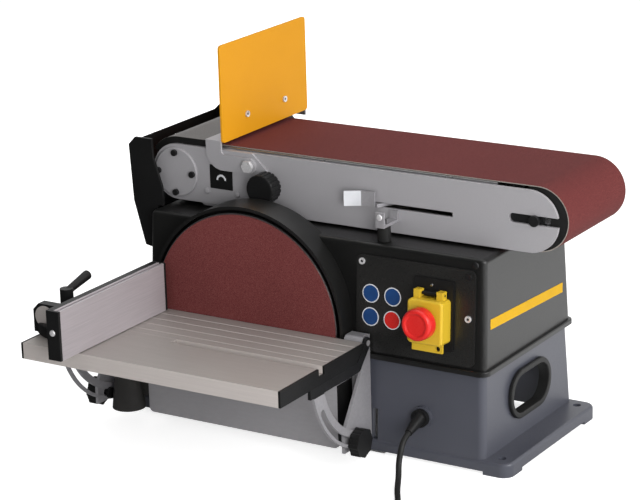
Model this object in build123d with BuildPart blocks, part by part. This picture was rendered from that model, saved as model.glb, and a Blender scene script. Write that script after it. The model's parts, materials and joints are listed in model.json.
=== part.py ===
from build123d import *
import math
import os

os.makedirs("parts", exist_ok=True)

# Frame: the origin is the middle of the four bench bolt holes, on the bench.
# X runs along the sanding belt, Y from the disc side to the back, Z up. Sizes in millimetres.

# Clearances, and how far a cut runs past the face that it opens
running_clearance = 0.05
part_gap = 0.3
screw_clearance = 0.1
fit = 0.02
overrun = 1.0

# Base casting
base_foot_length = 470.0
base_foot_depth = 228.0
base_draft_x = 3.0
base_draft_y = 7.0
base_corner = 9.0
base_wall = 6.0
base_top_z = 118.0
base_top_length = base_foot_length - 2 * base_draft_x
base_top_depth = base_foot_depth - 2 * base_draft_y
flange_side = 33.0
flange_front = 2.0
flange_thickness = 17.0
flange_corner = 14.0
flange_edge = 4.0
flange_length = base_foot_length + 2 * flange_side
flange_depth = base_foot_depth + 2 * flange_front
bolt_inset = 18.0
bolt_hole_radius = 5.0
bolt_spacing_x = flange_length - 2 * bolt_inset
bolt_spacing_y = flange_depth - 2 * bolt_inset
foot_pad = 34.0
foot_arch = 4.0

# Hand openings in both ends of the base
handle_length = 96.0
handle_height = 53.0
handle_z = 70.0
grommet_lip = 4.0
grommet_wall = 3.0
grommet_stand = 4.0
grommet_neck = 10.0
grommet_edge = 1.8

# Housing
housing_inset = 3.0
housing_draft_x = 3.0
housing_draft_y = 8.5
housing_height = 137.0
housing_corner = 8.0
housing_wall = 4.0
housing_edge = 6.0
housing_foot_length = base_foot_length
housing_foot_depth = base_foot_depth - 2 * housing_inset
housing_top_length = housing_foot_length - 2 * housing_draft_x
housing_top_depth = housing_foot_depth - 2 * housing_draft_y
housing_top_z = base_top_z + housing_height
housing_left_x = -housing_foot_length / 2
lip_width = 4.0
lip_height = 6.0
lip_edge = 1.5
lip_rear_y = housing_foot_depth / 2 + lip_width
lip_top_z = base_top_z + lip_height

# Disc and its round hump on the housing
disc_inset = 158.0
disc_rise = 32.0
disc_axis_x = housing_left_x + disc_inset
disc_axis_z = base_top_z + disc_rise
abrasive_radius = 126.5
abrasive_thickness = 1.5
disc_plate_radius = 128.0
disc_plate_thickness = 6.0
disc_hub_radius = 24.0
disc_hub_length = 10.0
shroud_radius = 136.0
shroud_wall = 4.0
shroud_reach = 21.0
shroud_depth = 40.0
disc_well = 17.0
disc_stand = 2.5
shroud_front_y = -housing_foot_depth / 2 - shroud_reach
shroud_rear_y = shroud_front_y + shroud_depth
disc_cavity_y = shroud_front_y + disc_well
disc_face_y = shroud_front_y - disc_stand

# Motor
motor_wall = 19.0
motor_seat_y = disc_cavity_y + motor_wall
motor_radius = 60.0
motor_pad_radius = 64.0
bell_length = 18.0
stator_length = 100.0
stator_bore = 36.0
rotor_gap = 0.4
rotor_length = 84.0
shaft_radius = 8.0
shaft_hole_radius = 13.0
shaft_end = 1.0
shaft_play = 1.0
shaft_inset = 0.2
bearing_radius = 17.5
bearing_width = 11.0
bearing_play = 0.2

# Drive at the back
pivot_plate_thickness = 6.0
pivot_plate_radius = 46.0
pivot_boss_radius = 24.0
motor_pulley_radius = 22.0
drum_pulley_radius = 26.0
pulley_width = 14.0
pulley_gap = 2.5
drive_belt_thickness = 4.0
drive_belt_inset = 1.0
cover_wall = 2.5
cover_tail = 9.0
cover_edge = 5.0

# Sanding belt and its drums
belt_width = 150.0
belt_length = 1220.0
belt_thickness = 1.2
belt_back_inset = 19.5
drum_radius = 37.3
drum_inset = 20.0
drum_rise = 42.0
drum_axis_x = housing_left_x + drum_inset
drum_axis_z = housing_top_z + drum_rise
drum_bearing_radius = 16.0
drum_bearing_width = 9.0
drum_bearing_inset = 0.5
axle_radius = 7.5
belt_rear_y = lip_rear_y - belt_back_inset
belt_front_y = belt_rear_y - belt_width
belt_mid_y = (belt_front_y + belt_rear_y) / 2
belt_inner = drum_radius + part_gap
belt_outer = belt_inner + belt_thickness
belt_middle = belt_inner + belt_thickness / 2
drum_spacing = belt_length / 2 - math.pi * belt_middle
idler_axis_x = drum_axis_x + drum_spacing

# Belt arm
arm_half_height = 35.0
arm_skirt = 39.0
arm_skirt_start = 30.0
arm_skirt_slope = 6.0
arm_end_inset = 8.0
arm_plate = 4.0
belt_side_gap = 3.0
casting_thickness = 3.5
casting_boss_radius = 22.0
casting_boss_gap = 1.0
casting_top_back = 22.0
casting_nose = 14.0
casting_nose_rise = 1.0
casting_nose_drop = 12.0
casting_foot_back = 4.0
drum_cover_radius = 31.0
drum_cover_thickness = 3.5
drum_cover_edge = 1.2
cover_screw_circle = 25.0
platen_inset = 50.0
platen_left_x = drum_axis_x + platen_inset
platen_right_x = idler_axis_x - platen_inset
platen_thickness = 5.0
platen_side = 20.0
guard_gap = 2.9
guard_wall = 2.0
guard_run = 44.0
guard_end_x = drum_axis_x + guard_run
guard_sweep = 54.0
guard_flange = 1.6
arm_front_in_y = belt_front_y - belt_side_gap
arm_front_y = arm_front_in_y - arm_plate
arm_rear_in_y = belt_rear_y + belt_side_gap
arm_rear_y = arm_rear_in_y + arm_plate
casting_front_y = arm_front_y - casting_thickness
drum_cover_front_y = casting_front_y - drum_cover_thickness

# Belt tension and tracking
lever_inset = 162.0
lever_pivot_x = idler_axis_x - lever_inset
lever_drop = 7.0
lever_z = drum_axis_z - lever_drop
lever_thickness = 4.0
lever_pin_radius = 6.0
lever_hub_radius = 12.0
lever_width = 14.0
lever_half_swing = 29.0
lever_stand = 6.0
lever_crank = 15.0
crank_pin_radius = 3.0
crank_rim = 3.0
crank_play = 1.2
lever_tab_thickness = 3.0
lever_tab_height = 18.0
lever_tab_root = 4.0
lever_tab_run = 14.0
lever_tab_length = 21.0
lever_tab_bend = 30.0
lever_slot_play = 0.8
lever_slot_spare = 2.0
axle_end_radius = 5.0
axle_play = 0.5
axle_slot_spare = 13.0
axle_nut_radius = 6.5
axle_nut = 5.0
yoke_arm = 2.4
yoke_height = 16.0
yoke_inset = 54.0
yoke_bar_x = idler_axis_x - yoke_inset
yoke_bar_width = 8.0
pull_rod_radius = 4.0
pull_eye_wall = 2.3
spring_radius = 7.5
spring_wire = 1.2
spring_turns = 9
spring_length = 60.0
idler_bore_play = 2.0
idler_bearing_inset = 0.4
idler_seat_play = 0.1
knob_gap = 1.0
tracking_run = 133.0
tracking_drop = 3.0
tracking_x = drum_axis_x + tracking_run
tracking_z = drum_axis_z - tracking_drop
tracking_radius = 19.0
tracking_depth = 20.0
tracking_edge = 3.0
tracking_flutes = 20
tracking_flute_radius = 1.4
tracking_flute_offset = 0.4
tracking_stem_radius = 5.0
tracking_stem_tail = 8.0

# Work stop and bumper on the arm
stop_run = 71.0
stop_face_x = drum_axis_x + stop_run
stop_plate_thickness = 3.0
stop_corner = 5.0
stop_edge = 0.8
stop_front_overhang = 2.0
stop_rear_overhang = 24.0
stop_front_y = casting_front_y - stop_front_overhang
stop_rear_y = arm_rear_y + stop_rear_overhang
stop_rise = 43.5
stop_height = 120.5
stop_bottom_z = drum_axis_z + stop_rise
stop_top_z = stop_bottom_z + stop_height
stop_screw_rise = 25.5
stop_screw_front = 54.0
stop_screw_rear = 54.5
stop_bracket_thickness = 3.0
stop_bracket_width = 22.0
stop_bracket_gap = 0.5
stop_leg_height = 36.0
stop_leg_inset = 8.0
stop_tab_reach = 1.0
stop_tab_drop = 8.0
stop_bolt_run = 107.0
stop_bolt_rise = 20.0
stop_bolt_x = drum_axis_x + stop_bolt_run
stop_bolt_z = drum_axis_z + stop_bolt_rise
stop_bolt_radius = 4.0
stop_band = 20.0
hook_outer_bend = 24.0
hook_inner_bend = 5.0
bumper_run = 21.5
bumper_x = lever_pivot_x - bumper_run
bumper_reach = 25.5
bumper_y = arm_front_y - bumper_reach
bumper_width = 17.0
bumper_radius = 8.0
bumper_rise = 18.0
bumper_bottom_z = housing_top_z + bumper_rise
bumper_leg = 12.0
bumper_depth = 35.5
bumper_front_y = arm_front_y - bumper_depth
bumper_wall = 3.5
bumper_stud_radius = 3.0
bumper_stud_end = 5.0
bumper_edge = 1.0
bumper_gap = 1.0

# Dust hood around the drive drum
hood_front_gap = 12.5
hood_rear_inset = 7.0
hood_front_y = drum_cover_front_y - hood_front_gap
hood_rear_y = lip_rear_y - hood_rear_inset
hood_wall = 4.0
hood_rise = 42.0
hood_reach = 61.0
hood_drop = 57.0
hood_top_z = drum_axis_z + hood_rise
hood_left_x = drum_axis_x - hood_reach
hood_floor_z = housing_top_z - hood_drop
hood_chamfer = 10.0
hood_bend = 19.0
hood_knee = 4.0
hood_knee_rise = 3.0
hood_top_run = 35.0
hood_mouth_drop = 23.0
hood_mouth_lean = 1.0
hood_sill_run = 49.0
hood_sill_rise = 24.0
hood_hollow_run = 30.0
hood_boss_play = 6.0
hood_outlet_radius = 25.0
hood_outlet_wall = 3.0
hood_outlet_length = 14.0
hood_outlet_drop = 1.0
hood_outlet_z = drum_axis_z - hood_outlet_drop

# Lower disc guard and dust spigot
guard_box_half = 136.5
guard_box_reach = 35.0
guard_box_left_x = disc_axis_x - guard_box_half
guard_box_right_x = disc_axis_x + guard_box_half
guard_box_front_y = -base_foot_depth / 2 - guard_box_reach
guard_box_bottom_z = 11.0
guard_box_top_z = 90.0
guard_box_wall = 2.0
guard_box_corner = 6.0
spigot_inset = 26.5
spigot_forward = 6.0
spigot_x = guard_box_left_x - spigot_inset
spigot_y = guard_box_front_y - spigot_forward
spigot_mouth_radius = 21.0
spigot_top_radius = 16.0
spigot_mouth_z = 15.0
spigot_top_z = 59.0
spigot_wall = 2.5
spigot_neck_back = 15.0
spigot_neck_y = guard_box_front_y + spigot_neck_back
spigot_neck_half = 13.0
spigot_neck_bottom_z = 30.0

# Table
hinge_reach = 14.0
hinge_rise = 24.0
hinge_y = -base_foot_depth / 2 - hinge_reach
hinge_z = base_top_z + hinge_rise
table_left_run = 193.0
table_right_run = 169.0
table_depth = 183.0
table_disc_gap = 2.5
table_rise = 3.0
table_left_x = disc_axis_x - table_left_run
table_right_x = disc_axis_x + table_right_run
table_rear_y = disc_face_y - table_disc_gap
table_front_y = table_rear_y - table_depth
table_top_z = hinge_z + table_rise
table_thickness = 20.0
table_skin = 7.0
table_rib = 8.0
table_cap = 3.0
table_groove = 1.6
table_groove_depth = 0.8
table_groove_spacing = 19.0
table_groove_start = 14.25
table_groove_count = 4
mitre_slot_inset = 95.5
mitre_slot_y = table_rear_y - mitre_slot_inset
mitre_slot_width = 12.0
mitre_slot_depth = 9.0

# Table quadrants, brackets and lock knobs
trunnion_plate = 4.0
trunnion_inset = 1.0
lock_radius = 116.0
lock_angle = 17.0
lock_spare = 1.0
tilt_range = 45.0
lock_stud_radius = 4.0
lock_stud_end = 0.5
lock_slot_play = 0.25
lock_nut_radius = 7.0
lock_nut = 4.0
quadrant_outer_strip = 4.0
quadrant_inner_strip = 9.0
quadrant_bar = 12.0
quadrant_bar_overlap = 7.0
quadrant_tail = 6.0
quadrant_nose = 14.0
quadrant_slot_play = 1.5
quadrant_slot_floor = 0.4
quadrant_slot_spare = 15.75
hinge_eye_radius = 6.8
hinge_stud_radius = 3.5
hinge_stud_end = 0.5
hinge_arm_half = 6.0
hinge_arm_run = 5.0
hinge_arm_drop = 2.0
hinge_barrel = 24.0
bracket_plate = 4.0
bracket_gap = 1.0
bracket_foot_z = 20.0
bracket_toe_reach = 50.0
bracket_toe_y = hinge_y - bracket_toe_reach
bracket_toe_z = 46.0
bracket_neck = 8.0
bracket_neck_drop = 34.0
bracket_flange = 3.0
bracket_flange_drop = 60.0
bracket_flange_bottom_z = base_top_z - bracket_flange_drop
bracket_seat_reach = 2.0
bracket_seat_y = -base_foot_depth / 2 - bracket_seat_reach
bracket_right_gap = 2.5
bracket_left_gap = 1.5
right_flange_x = guard_box_right_x + bracket_right_gap
left_flange_x = guard_box_left_x - bracket_left_gap
bracket_pad = 18.0
bracket_screw_low = 10.0
bracket_screw_high = 14.0
knob_radius = 18.0
knob_depth = 12.0
knob_lobes = 8
knob_lobe_radius = 4.0
knob_flute = 1.4

# Mitre gauge
mitre_bar_start = 8.0
mitre_bar_length = 150.0
mitre_bar_left_x = table_left_x + mitre_bar_start
mitre_bar_right_x = mitre_bar_left_x + mitre_bar_length
mitre_bar_play = 0.15
mitre_pivot_run = 58.0
mitre_pivot_x = table_left_x + mitre_pivot_run
mitre_pin_radius = 5.0
mitre_head_run = 40.0
mitre_head_x = table_left_x + mitre_head_run
mitre_radius = 66.0
mitre_base_height = 13.5
mitre_pin_height = 9.0
mitre_edge = 3.0
mitre_wing_height = 36.7
mitre_wing_reach = 9.0
mitre_wing_forward = 43.5
mitre_wing_thickness = 12.0
mitre_wing_chamfer = 8.0
fence_run = 87.0
fence_face_x = table_left_x + fence_run
fence_thickness = 10.0
fence_backing = 8.0
fence_overhang = 36.0
fence_disc_gap = 6.0
fence_front_y = table_front_y - fence_overhang
fence_rear_y = table_rear_y - fence_disc_gap
fence_lift = 1.0
fence_bottom_z = table_top_z + fence_lift
fence_height = 60.0
fence_cap = 4.0
fence_groove = 3.0
fence_groove_depth = 4.0
mitre_lever_run = 38.0
mitre_lever_x = table_left_x + mitre_lever_run
mitre_lever_y = mitre_slot_y - mitre_wing_forward
mitre_stud_radius = 3.0
mitre_stud_depth = 14.0
mitre_hub_radius = 8.0
mitre_hub_height = 22.5
mitre_handle_length = 44.0
mitre_handle_rise = 10.0
mitre_handle_radius = 4.5
mitre_handle_swell = 1.5
mitre_handle_edge = 2.0

# Switch on the leaning front face
panel_disc_gap = 142.0
panel_right_inset = 13.0
panel_left_x = disc_axis_x + panel_disc_gap
panel_right_x = housing_foot_length / 2 - panel_right_inset
panel_bottom_v = 9.0
panel_top_v = 124.0
panel_corner = 8.0
panel_thickness = 2.5
switch_inset = 52.5
switch_x = panel_right_x - switch_inset
switch_v = 66.5
switch_width = 52.0
switch_height = 84.0
switch_plate = 3.0
switch_corner = 3.0
switch_depth = 32.0
switch_box_margin = 4.0
flap_width = 46.0
flap_top = 21.0
flap_bottom = 31.5
flap_depth = 21.0
flap_wall = 2.5
flap_corner = 5.0
flap_edge = 3.0
flap_hinge_rise = 26.0
flap_hinge_reach = 6.5
flap_hinge_radius = 2.0
flap_pin_radius = 1.5
flap_lug_width = 8.0
flap_lug_u = 15.0
flap_lug_rise = 30.5
flap_lug_inner = 2.5
flap_lug_outer = 12.5
flap_tab_width = 40.0
flap_tab_height = 10.0
flap_tab_out = 10.0
flap_tab_thickness = 3.0
flap_tab_hole = 3.0
flap_tab_hole_u = 14.0
mushroom_radius = 19.0
mushroom_height = 17.0
mushroom_round = 10.2
mushroom_stem_radius = 6.5
mushroom_stem_gap = 0.5
mushroom_travel = 4.0
mushroom_gap = 1.0
button_radius = 6.0
button_height = 6.0
button_depth = 8.0
button_edge = 1.0
button_spare = 1.0
start_button_drop = 2.0
stop_button_v = -4.0
start_button_v = 9.5

# Screws
screw_head_radius = 4.0
screw_head = 2.5
screw_shank_radius = 2.0
screw_shank = 6.0
screw_end = 0.5
screw_cap = 4.0
hex_radius = 8.0
hex_height = 5.0

# Mains lead
cord_radius = 3.5
gland_inset = 82.0
gland_x = base_foot_length / 2 - gland_inset
gland_z = 56.0
gland_reach = 1.0
gland_seat_y = -base_foot_depth / 2 - gland_reach
gland_radius = 11.0
gland_pad = 2.0
gland_nut = 6.0
gland_neck_wall = 1.5
gland_neck_length = 8.0
gland_hole_play = 2.0
gland_droop = 20.0
relief_length = 26.0
relief_root_radius = 8.0
relief_root_depth = 3.0
relief_tip_radius = 4.6
coil_pitch = 7.8
coil_turns = 3
coil_inner_radius = 27.0
coil_x = 261.0
coil_y = -323.0
tail_length = 50.0
tail_side = 22.0
plug_radius = 17.0
plug_length = 42.0
plug_tail_wall = 2.0
plug_shoulder = 1.0
plug_waist_run = 21.0
plug_pin_radius = 2.4
plug_pin_length = 19.0
plug_pin_spacing = 19.0

# Places that follow from the sizes above
platen_top_z = drum_axis_z + belt_inner - part_gap
platen_bottom_z = platen_top_z - platen_thickness
pivot_plate_y = lip_rear_y + part_gap
pulley_y = pivot_plate_y + pivot_plate_thickness + pulley_gap
pulley_rear_y = pulley_y + pulley_width
cover_rear_y = pulley_rear_y + cover_tail
shroud_inner = shroud_radius - shroud_wall
disc_back_y = disc_face_y + abrasive_thickness + disc_plate_thickness
bell_rear_y = motor_seat_y + bell_length
stator_rear_y = bell_rear_y + part_gap + stator_length
motor_rear_y = stator_rear_y + part_gap + bell_length
front_lean = math.degrees(math.atan2(housing_draft_y, housing_height))
table_bottom_z = table_top_z - table_thickness
quadrant_outer = lock_radius + lock_stud_radius + lock_slot_play + quadrant_outer_strip
quadrant_inner = lock_radius - lock_stud_radius - lock_slot_play - quadrant_inner_strip
lock_y = hinge_y - lock_radius * math.sin(math.radians(lock_angle))
lock_z = hinge_z - lock_radius * math.cos(math.radians(lock_angle))
right_quadrant_x = table_right_x - trunnion_inset - trunnion_plate
left_quadrant_x = table_left_x + trunnion_inset
right_bracket_x = right_quadrant_x - bracket_gap - bracket_plate
left_bracket_x = left_quadrant_x - bracket_gap - bracket_plate
fence_back_x = fence_face_x - fence_thickness
backing_x = fence_back_x - fence_backing
fence_top_z = fence_bottom_z + fence_height
switch_out = panel_thickness + switch_plate
flap_back = switch_out + part_gap
flap_front = flap_back + flap_depth
flap_hinge_v = switch_v + flap_hinge_rise
flap_hinge_out = flap_back + flap_hinge_reach
stop_v = switch_v + stop_button_v
start_v = switch_v + start_button_v
lever_rest = math.radians(-90.0 - lever_half_swing)


def front_plane(y):
    return Plane.XZ.offset(-y)


def face_plane(out):
    lean = math.radians(front_lean)
    normal = Vector(0, -math.cos(lean), math.sin(lean))
    start = Vector(0, -housing_foot_depth / 2, base_top_z)
    return Plane(origin=start + normal * out, x_dir=(1, 0, 0), z_dir=normal)


def block(x0, x1, y0, y1, z0, z1, mode=Mode.ADD):
    with Locations(((x0 + x1) / 2, (y0 + y1) / 2, (z0 + z1) / 2)):
        Box(x1 - x0, y1 - y0, z1 - z0, mode=mode)


def rod_x(y, z, radius, x0, x1, mode=Mode.ADD):
    with Locations(((x0 + x1) / 2, y, z)):
        Cylinder(radius, x1 - x0, rotation=(0, 90, 0), mode=mode)


def rod_y(x, z, radius, y0, y1, mode=Mode.ADD):
    with Locations((x, (y0 + y1) / 2, z)):
        Cylinder(radius, y1 - y0, rotation=(90, 0, 0), mode=mode)


def rod_z(x, y, radius, z0, z1, mode=Mode.ADD):
    with Locations((x, y, (z0 + z1) / 2)):
        Cylinder(radius, z1 - z0, mode=mode)


def prism_x(points, x0, x1, mode=Mode.ADD):
    with BuildSketch(Plane.YZ.offset(x0)) as outline:
        Polygon(*points)
    extrude(outline.sketch, amount=x1 - x0, mode=mode)


def prism_y(points, y0, y1, mode=Mode.ADD):
    with BuildSketch(front_plane(y1)) as outline:
        Polygon(*points)
    extrude(outline.sketch, amount=y1 - y0, mode=mode)


def slot_y(x0, x1, z, radius, y0, y1, mode=Mode.ADD):
    with BuildSketch(front_plane(y1)) as outline:
        with Locations(((x0 + x1) / 2, z)):
            SlotCenterToCenter(x1 - x0, 2 * radius)
    extrude(outline.sketch, amount=y1 - y0, mode=mode)


def face_block(u, v, width, height, out0, out1, corner=0.0, mode=Mode.ADD):
    with BuildSketch(face_plane(out0)) as outline:
        with Locations((u, v)):
            if corner > 0:
                RectangleRounded(width, height, corner)
            else:
                Rectangle(width, height)
    extrude(outline.sketch, amount=out1 - out0, mode=mode)


def face_rod(u, v, radius, out0, out1, mode=Mode.ADD):
    with BuildSketch(face_plane(out0)) as outline:
        with Locations((u, v)):
            Circle(radius)
    extrude(outline.sketch, amount=out1 - out0, mode=mode)


def tapered_box(bottom_z, bottom_length, bottom_depth, top_z, top_length, top_depth, corner, mode=Mode.ADD):
    with BuildSketch(Plane.XY.offset(bottom_z)) as bottom:
        RectangleRounded(bottom_length, bottom_depth, corner)
    with BuildSketch(Plane.XY.offset(top_z)) as top:
        RectangleRounded(top_length, top_depth, corner)
    loft([bottom.sketch.face(), top.sketch.face()], mode=mode)


def drive_outline(radius_at_motor, radius_at_drum):
    with BuildSketch(Plane.XZ) as outline:
        with BuildLine():
            CenterArc((disc_axis_x, disc_axis_z), radius_at_motor, 0, 360)
            CenterArc((drum_axis_x, drum_axis_z), radius_at_drum, 0, 360)
        make_hull()
    return outline.sketch


def drive_prism(radius_at_motor, radius_at_drum, y0, y1, mode=Mode.ADD):
    outline = drive_outline(radius_at_motor, radius_at_drum)
    extrude(outline.moved(Location((0, y1, 0))), amount=y1 - y0, mode=mode)


# Base casting
panel_screws = [
    (panel_left_x + panel_corner, panel_top_v - panel_corner),
    (panel_right_x - panel_corner, panel_top_v - panel_corner),
    (panel_right_x - panel_corner, (panel_top_v + panel_bottom_v) / 2),
    (panel_left_x + panel_corner, panel_bottom_v + panel_corner),
]
bracket_screw_z = [bracket_flange_bottom_z + bracket_screw_low, base_top_z - bracket_screw_high]
right_screw_x = right_flange_x + bracket_pad / 2
left_screw_x = left_flange_x - bracket_pad / 2

with BuildPart() as base_casting:
    with BuildSketch(Plane.XY):
        RectangleRounded(flange_length, flange_depth, flange_corner)
    extrude(amount=flange_thickness)
    fillet(base_casting.faces().sort_by(Axis.Z)[-1].edges(), radius=flange_edge)
    with BuildSketch(Plane.XY):
        RectangleRounded(base_foot_length, base_foot_depth, base_corner)
    extrude(amount=flange_thickness)
    tapered_box(
        flange_thickness, base_foot_length, base_foot_depth, base_top_z, base_top_length, base_top_depth,
        base_corner
    )
    block(
        right_flange_x, right_flange_x + bracket_pad,
        bracket_seat_y, -base_top_depth / 2 + base_wall,
        bracket_flange_bottom_z, base_top_z - lip_width,
    )
    block(
        left_flange_x - bracket_pad, left_flange_x,
        bracket_seat_y, -base_top_depth / 2 + 2 * base_wall,
        bracket_flange_bottom_z, base_top_z - lip_width,
    )
    rod_y(gland_x, gland_z, gland_radius + gland_pad, gland_seat_y, -base_top_depth / 2)
    tapered_box(
        -overrun, base_foot_length - 2 * base_wall, base_foot_depth - 2 * base_wall,
        base_top_z + overrun, base_top_length - 2 * base_wall, base_top_depth - 2 * base_wall,
        base_corner - base_wall, mode=Mode.SUBTRACT,
    )
    block(
        -flange_length / 2 + foot_pad, flange_length / 2 - foot_pad, -flange_depth, flange_depth,
        -overrun, foot_arch, mode=Mode.SUBTRACT,
    )
    block(
        -flange_length, flange_length, -flange_depth / 2 + foot_pad, flange_depth / 2 - foot_pad,
        -overrun, foot_arch, mode=Mode.SUBTRACT,
    )
    for hole_x in (-bolt_spacing_x / 2, bolt_spacing_x / 2):
        for hole_y in (-bolt_spacing_y / 2, bolt_spacing_y / 2):
            rod_z(hole_x, hole_y, bolt_hole_radius, -overrun, flange_thickness + overrun, mode=Mode.SUBTRACT)
    with BuildSketch(Plane.YZ.offset(-base_foot_length)):
        with Locations((0, handle_z)):
            SlotOverall(handle_length, handle_height)
    extrude(amount=2 * base_foot_length, mode=Mode.SUBTRACT)
    block(
        right_quadrant_x - quadrant_slot_play, right_quadrant_x + trunnion_plate + quadrant_slot_play,
        -base_foot_depth / 2 - overrun, -base_top_depth / 2 + 2 * base_wall,
        flange_thickness + quadrant_slot_floor, hinge_z - quadrant_inner + quadrant_slot_spare,
        mode=Mode.SUBTRACT,
    )
    rod_y(
        gland_x, gland_z, cord_radius + gland_hole_play, gland_seat_y - overrun, -base_top_depth / 4,
        mode=Mode.SUBTRACT,
    )
    for screw_z in bracket_screw_z:
        for screw_x in (right_screw_x, left_screw_x):
            rod_y(
                screw_x, screw_z, screw_shank_radius + screw_clearance,
                bracket_seat_y - overrun, bracket_seat_y + screw_shank, mode=Mode.SUBTRACT,
            )
base_casting.part.label = "base_casting"
export_step(base_casting.part, "parts/base_casting.step")

# Rubber rings in the hand openings
with BuildPart() as handle_grommets:
    for end in (-1, 1):
        wall_x = base_foot_length / 2 + running_clearance
        with BuildSketch(Plane.YZ.offset(end * wall_x)):
            with Locations((0, handle_z)):
                SlotOverall(handle_length + 2 * grommet_lip, handle_height + 2 * grommet_lip)
        extrude(amount=end * grommet_stand)
        with BuildSketch(Plane.YZ.offset(end * (wall_x - grommet_neck))):
            with Locations((0, handle_z)):
                SlotOverall(handle_length - 2 * part_gap, handle_height - 2 * part_gap)
        extrude(amount=end * grommet_neck)
    with BuildSketch(Plane.YZ.offset(-base_foot_length)):
        with Locations((0, handle_z)):
            SlotOverall(handle_length - 2 * grommet_wall, handle_height - 2 * grommet_wall)
    extrude(amount=2 * base_foot_length, mode=Mode.SUBTRACT)
    outer_faces = handle_grommets.faces().group_by(Axis.X)
    fillet(outer_faces[-1].edges(), radius=grommet_edge)
    outer_faces = handle_grommets.faces().group_by(Axis.X)
    fillet(outer_faces[0].edges(), radius=grommet_edge)
handle_grommets.part.label = "handle_grommets"
export_step(handle_grommets.part, "parts/handle_grommets.step")

# Housing with the hump over the disc
with BuildPart() as housing_shell:
    tapered_box(
        base_top_z, housing_foot_length, housing_foot_depth,
        housing_top_z, housing_top_length, housing_top_depth, housing_corner,
    )
    fillet(housing_shell.faces().sort_by(Axis.Z)[-1].edges(), radius=housing_edge)
    with BuildSketch(Plane.XY.offset(base_top_z)):
        RectangleRounded(
            housing_foot_length + 2 * lip_width, housing_foot_depth + 2 * lip_width,
            housing_corner + lip_width
        )
    extrude(amount=lip_height)
    lip_face = housing_shell.faces().filter_by(Axis.Z).group_by(Axis.Z)[-2]
    fillet(lip_face.edges().group_by(SortBy.LENGTH)[-1], radius=lip_edge)
    with BuildSketch(front_plane(shroud_rear_y)):
        with Locations((disc_axis_x, disc_axis_z)):
            Circle(shroud_radius)
        with Locations((disc_axis_x, base_top_z - shroud_radius)):
            Rectangle(2 * shroud_radius, 2 * shroud_radius, mode=Mode.SUBTRACT)
    extrude(amount=shroud_rear_y - shroud_front_y)
    tapered_box(
        base_top_z - overrun, housing_foot_length - 2 * housing_wall, housing_foot_depth - 2 * housing_wall,
        housing_top_z - housing_wall, housing_top_length - 2 * housing_wall,
        housing_top_depth - 2 * housing_wall,
        housing_corner - housing_wall, mode=Mode.SUBTRACT,
    )
    with BuildSketch(front_plane(motor_seat_y)):
        with Locations((disc_axis_x, disc_axis_z)):
            Circle(motor_pad_radius)
        with Locations((disc_axis_x, base_top_z - motor_pad_radius)):
            Rectangle(2 * motor_pad_radius, 2 * motor_pad_radius, mode=Mode.SUBTRACT)
    extrude(amount=motor_seat_y - disc_cavity_y)
    rod_y(disc_axis_x, disc_axis_z, shroud_inner, shroud_front_y - overrun, disc_cavity_y, mode=Mode.SUBTRACT)
    pad_outline = drive_outline(pivot_plate_radius, pivot_plate_radius)
    with BuildSketch(front_plane(pivot_plate_y)):
        add(pad_outline)
        with Locations((disc_axis_x, lip_top_z - housing_height)):
            Rectangle(housing_top_length, 2 * housing_height, mode=Mode.SUBTRACT)
        with Locations((disc_axis_x, housing_top_z - housing_edge + housing_height)):
            Rectangle(housing_top_length, 2 * housing_height, mode=Mode.SUBTRACT)
    extrude(amount=pivot_plate_y - housing_top_depth / 2 + housing_wall)
    rod_y(
        disc_axis_x, disc_axis_z, shaft_hole_radius, disc_cavity_y - overrun, pivot_plate_y + overrun,
        mode=Mode.SUBTRACT,
    )
    face_block(
        switch_x, switch_v, switch_width - 2 * switch_box_margin + 2 * part_gap,
        switch_height - 2 * switch_box_margin + 2 * part_gap, overrun, -2 * housing_wall, mode=Mode.SUBTRACT,
    )
    for screw_u, screw_v in panel_screws:
        face_rod(
            screw_u, screw_v, screw_shank_radius + screw_clearance, overrun, -housing_wall, mode=Mode.SUBTRACT
        )
housing_shell.part.label = "housing_shell"
export_step(housing_shell.part, "parts/housing_shell.step")

# Dust hood around the drive drum
hood_seat_x = housing_left_x - part_gap
hood_bend_x = hood_left_x + hood_bend
hood_knee_x = hood_left_x + hood_knee
hood_inner_x = hood_seat_x + hood_hollow_run
hood_mouth_x = hood_left_x + hood_top_run
hood_sill_x = hood_left_x + hood_sill_run
hood_sill_z = housing_top_z + part_gap
hood_knee_z = housing_top_z + hood_knee_rise
hood_profile = [
    (hood_seat_x, hood_floor_z),
    (hood_bend_x, hood_floor_z + hood_wall),
    (hood_knee_x, hood_knee_z),
    (hood_left_x, hood_top_z - hood_chamfer),
    (hood_left_x + hood_chamfer, hood_top_z),
    (hood_mouth_x, hood_top_z),
    (hood_mouth_x + hood_mouth_lean, hood_top_z - hood_mouth_drop),
    (hood_sill_x - hood_mouth_lean, hood_sill_z + hood_sill_rise),
    (hood_sill_x, hood_sill_z),
    (hood_seat_x, hood_sill_z),
]
hood_hollow = [
    (hood_inner_x, hood_floor_z + hood_wall),
    (hood_bend_x + hood_wall, hood_floor_z + 2 * hood_wall),
    (hood_knee_x + hood_wall, hood_knee_z),
    (hood_left_x + hood_wall, hood_top_z - hood_chamfer),
    (hood_left_x + hood_wall, hood_top_z + overrun),
    (hood_inner_x, hood_top_z + overrun),
]
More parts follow.
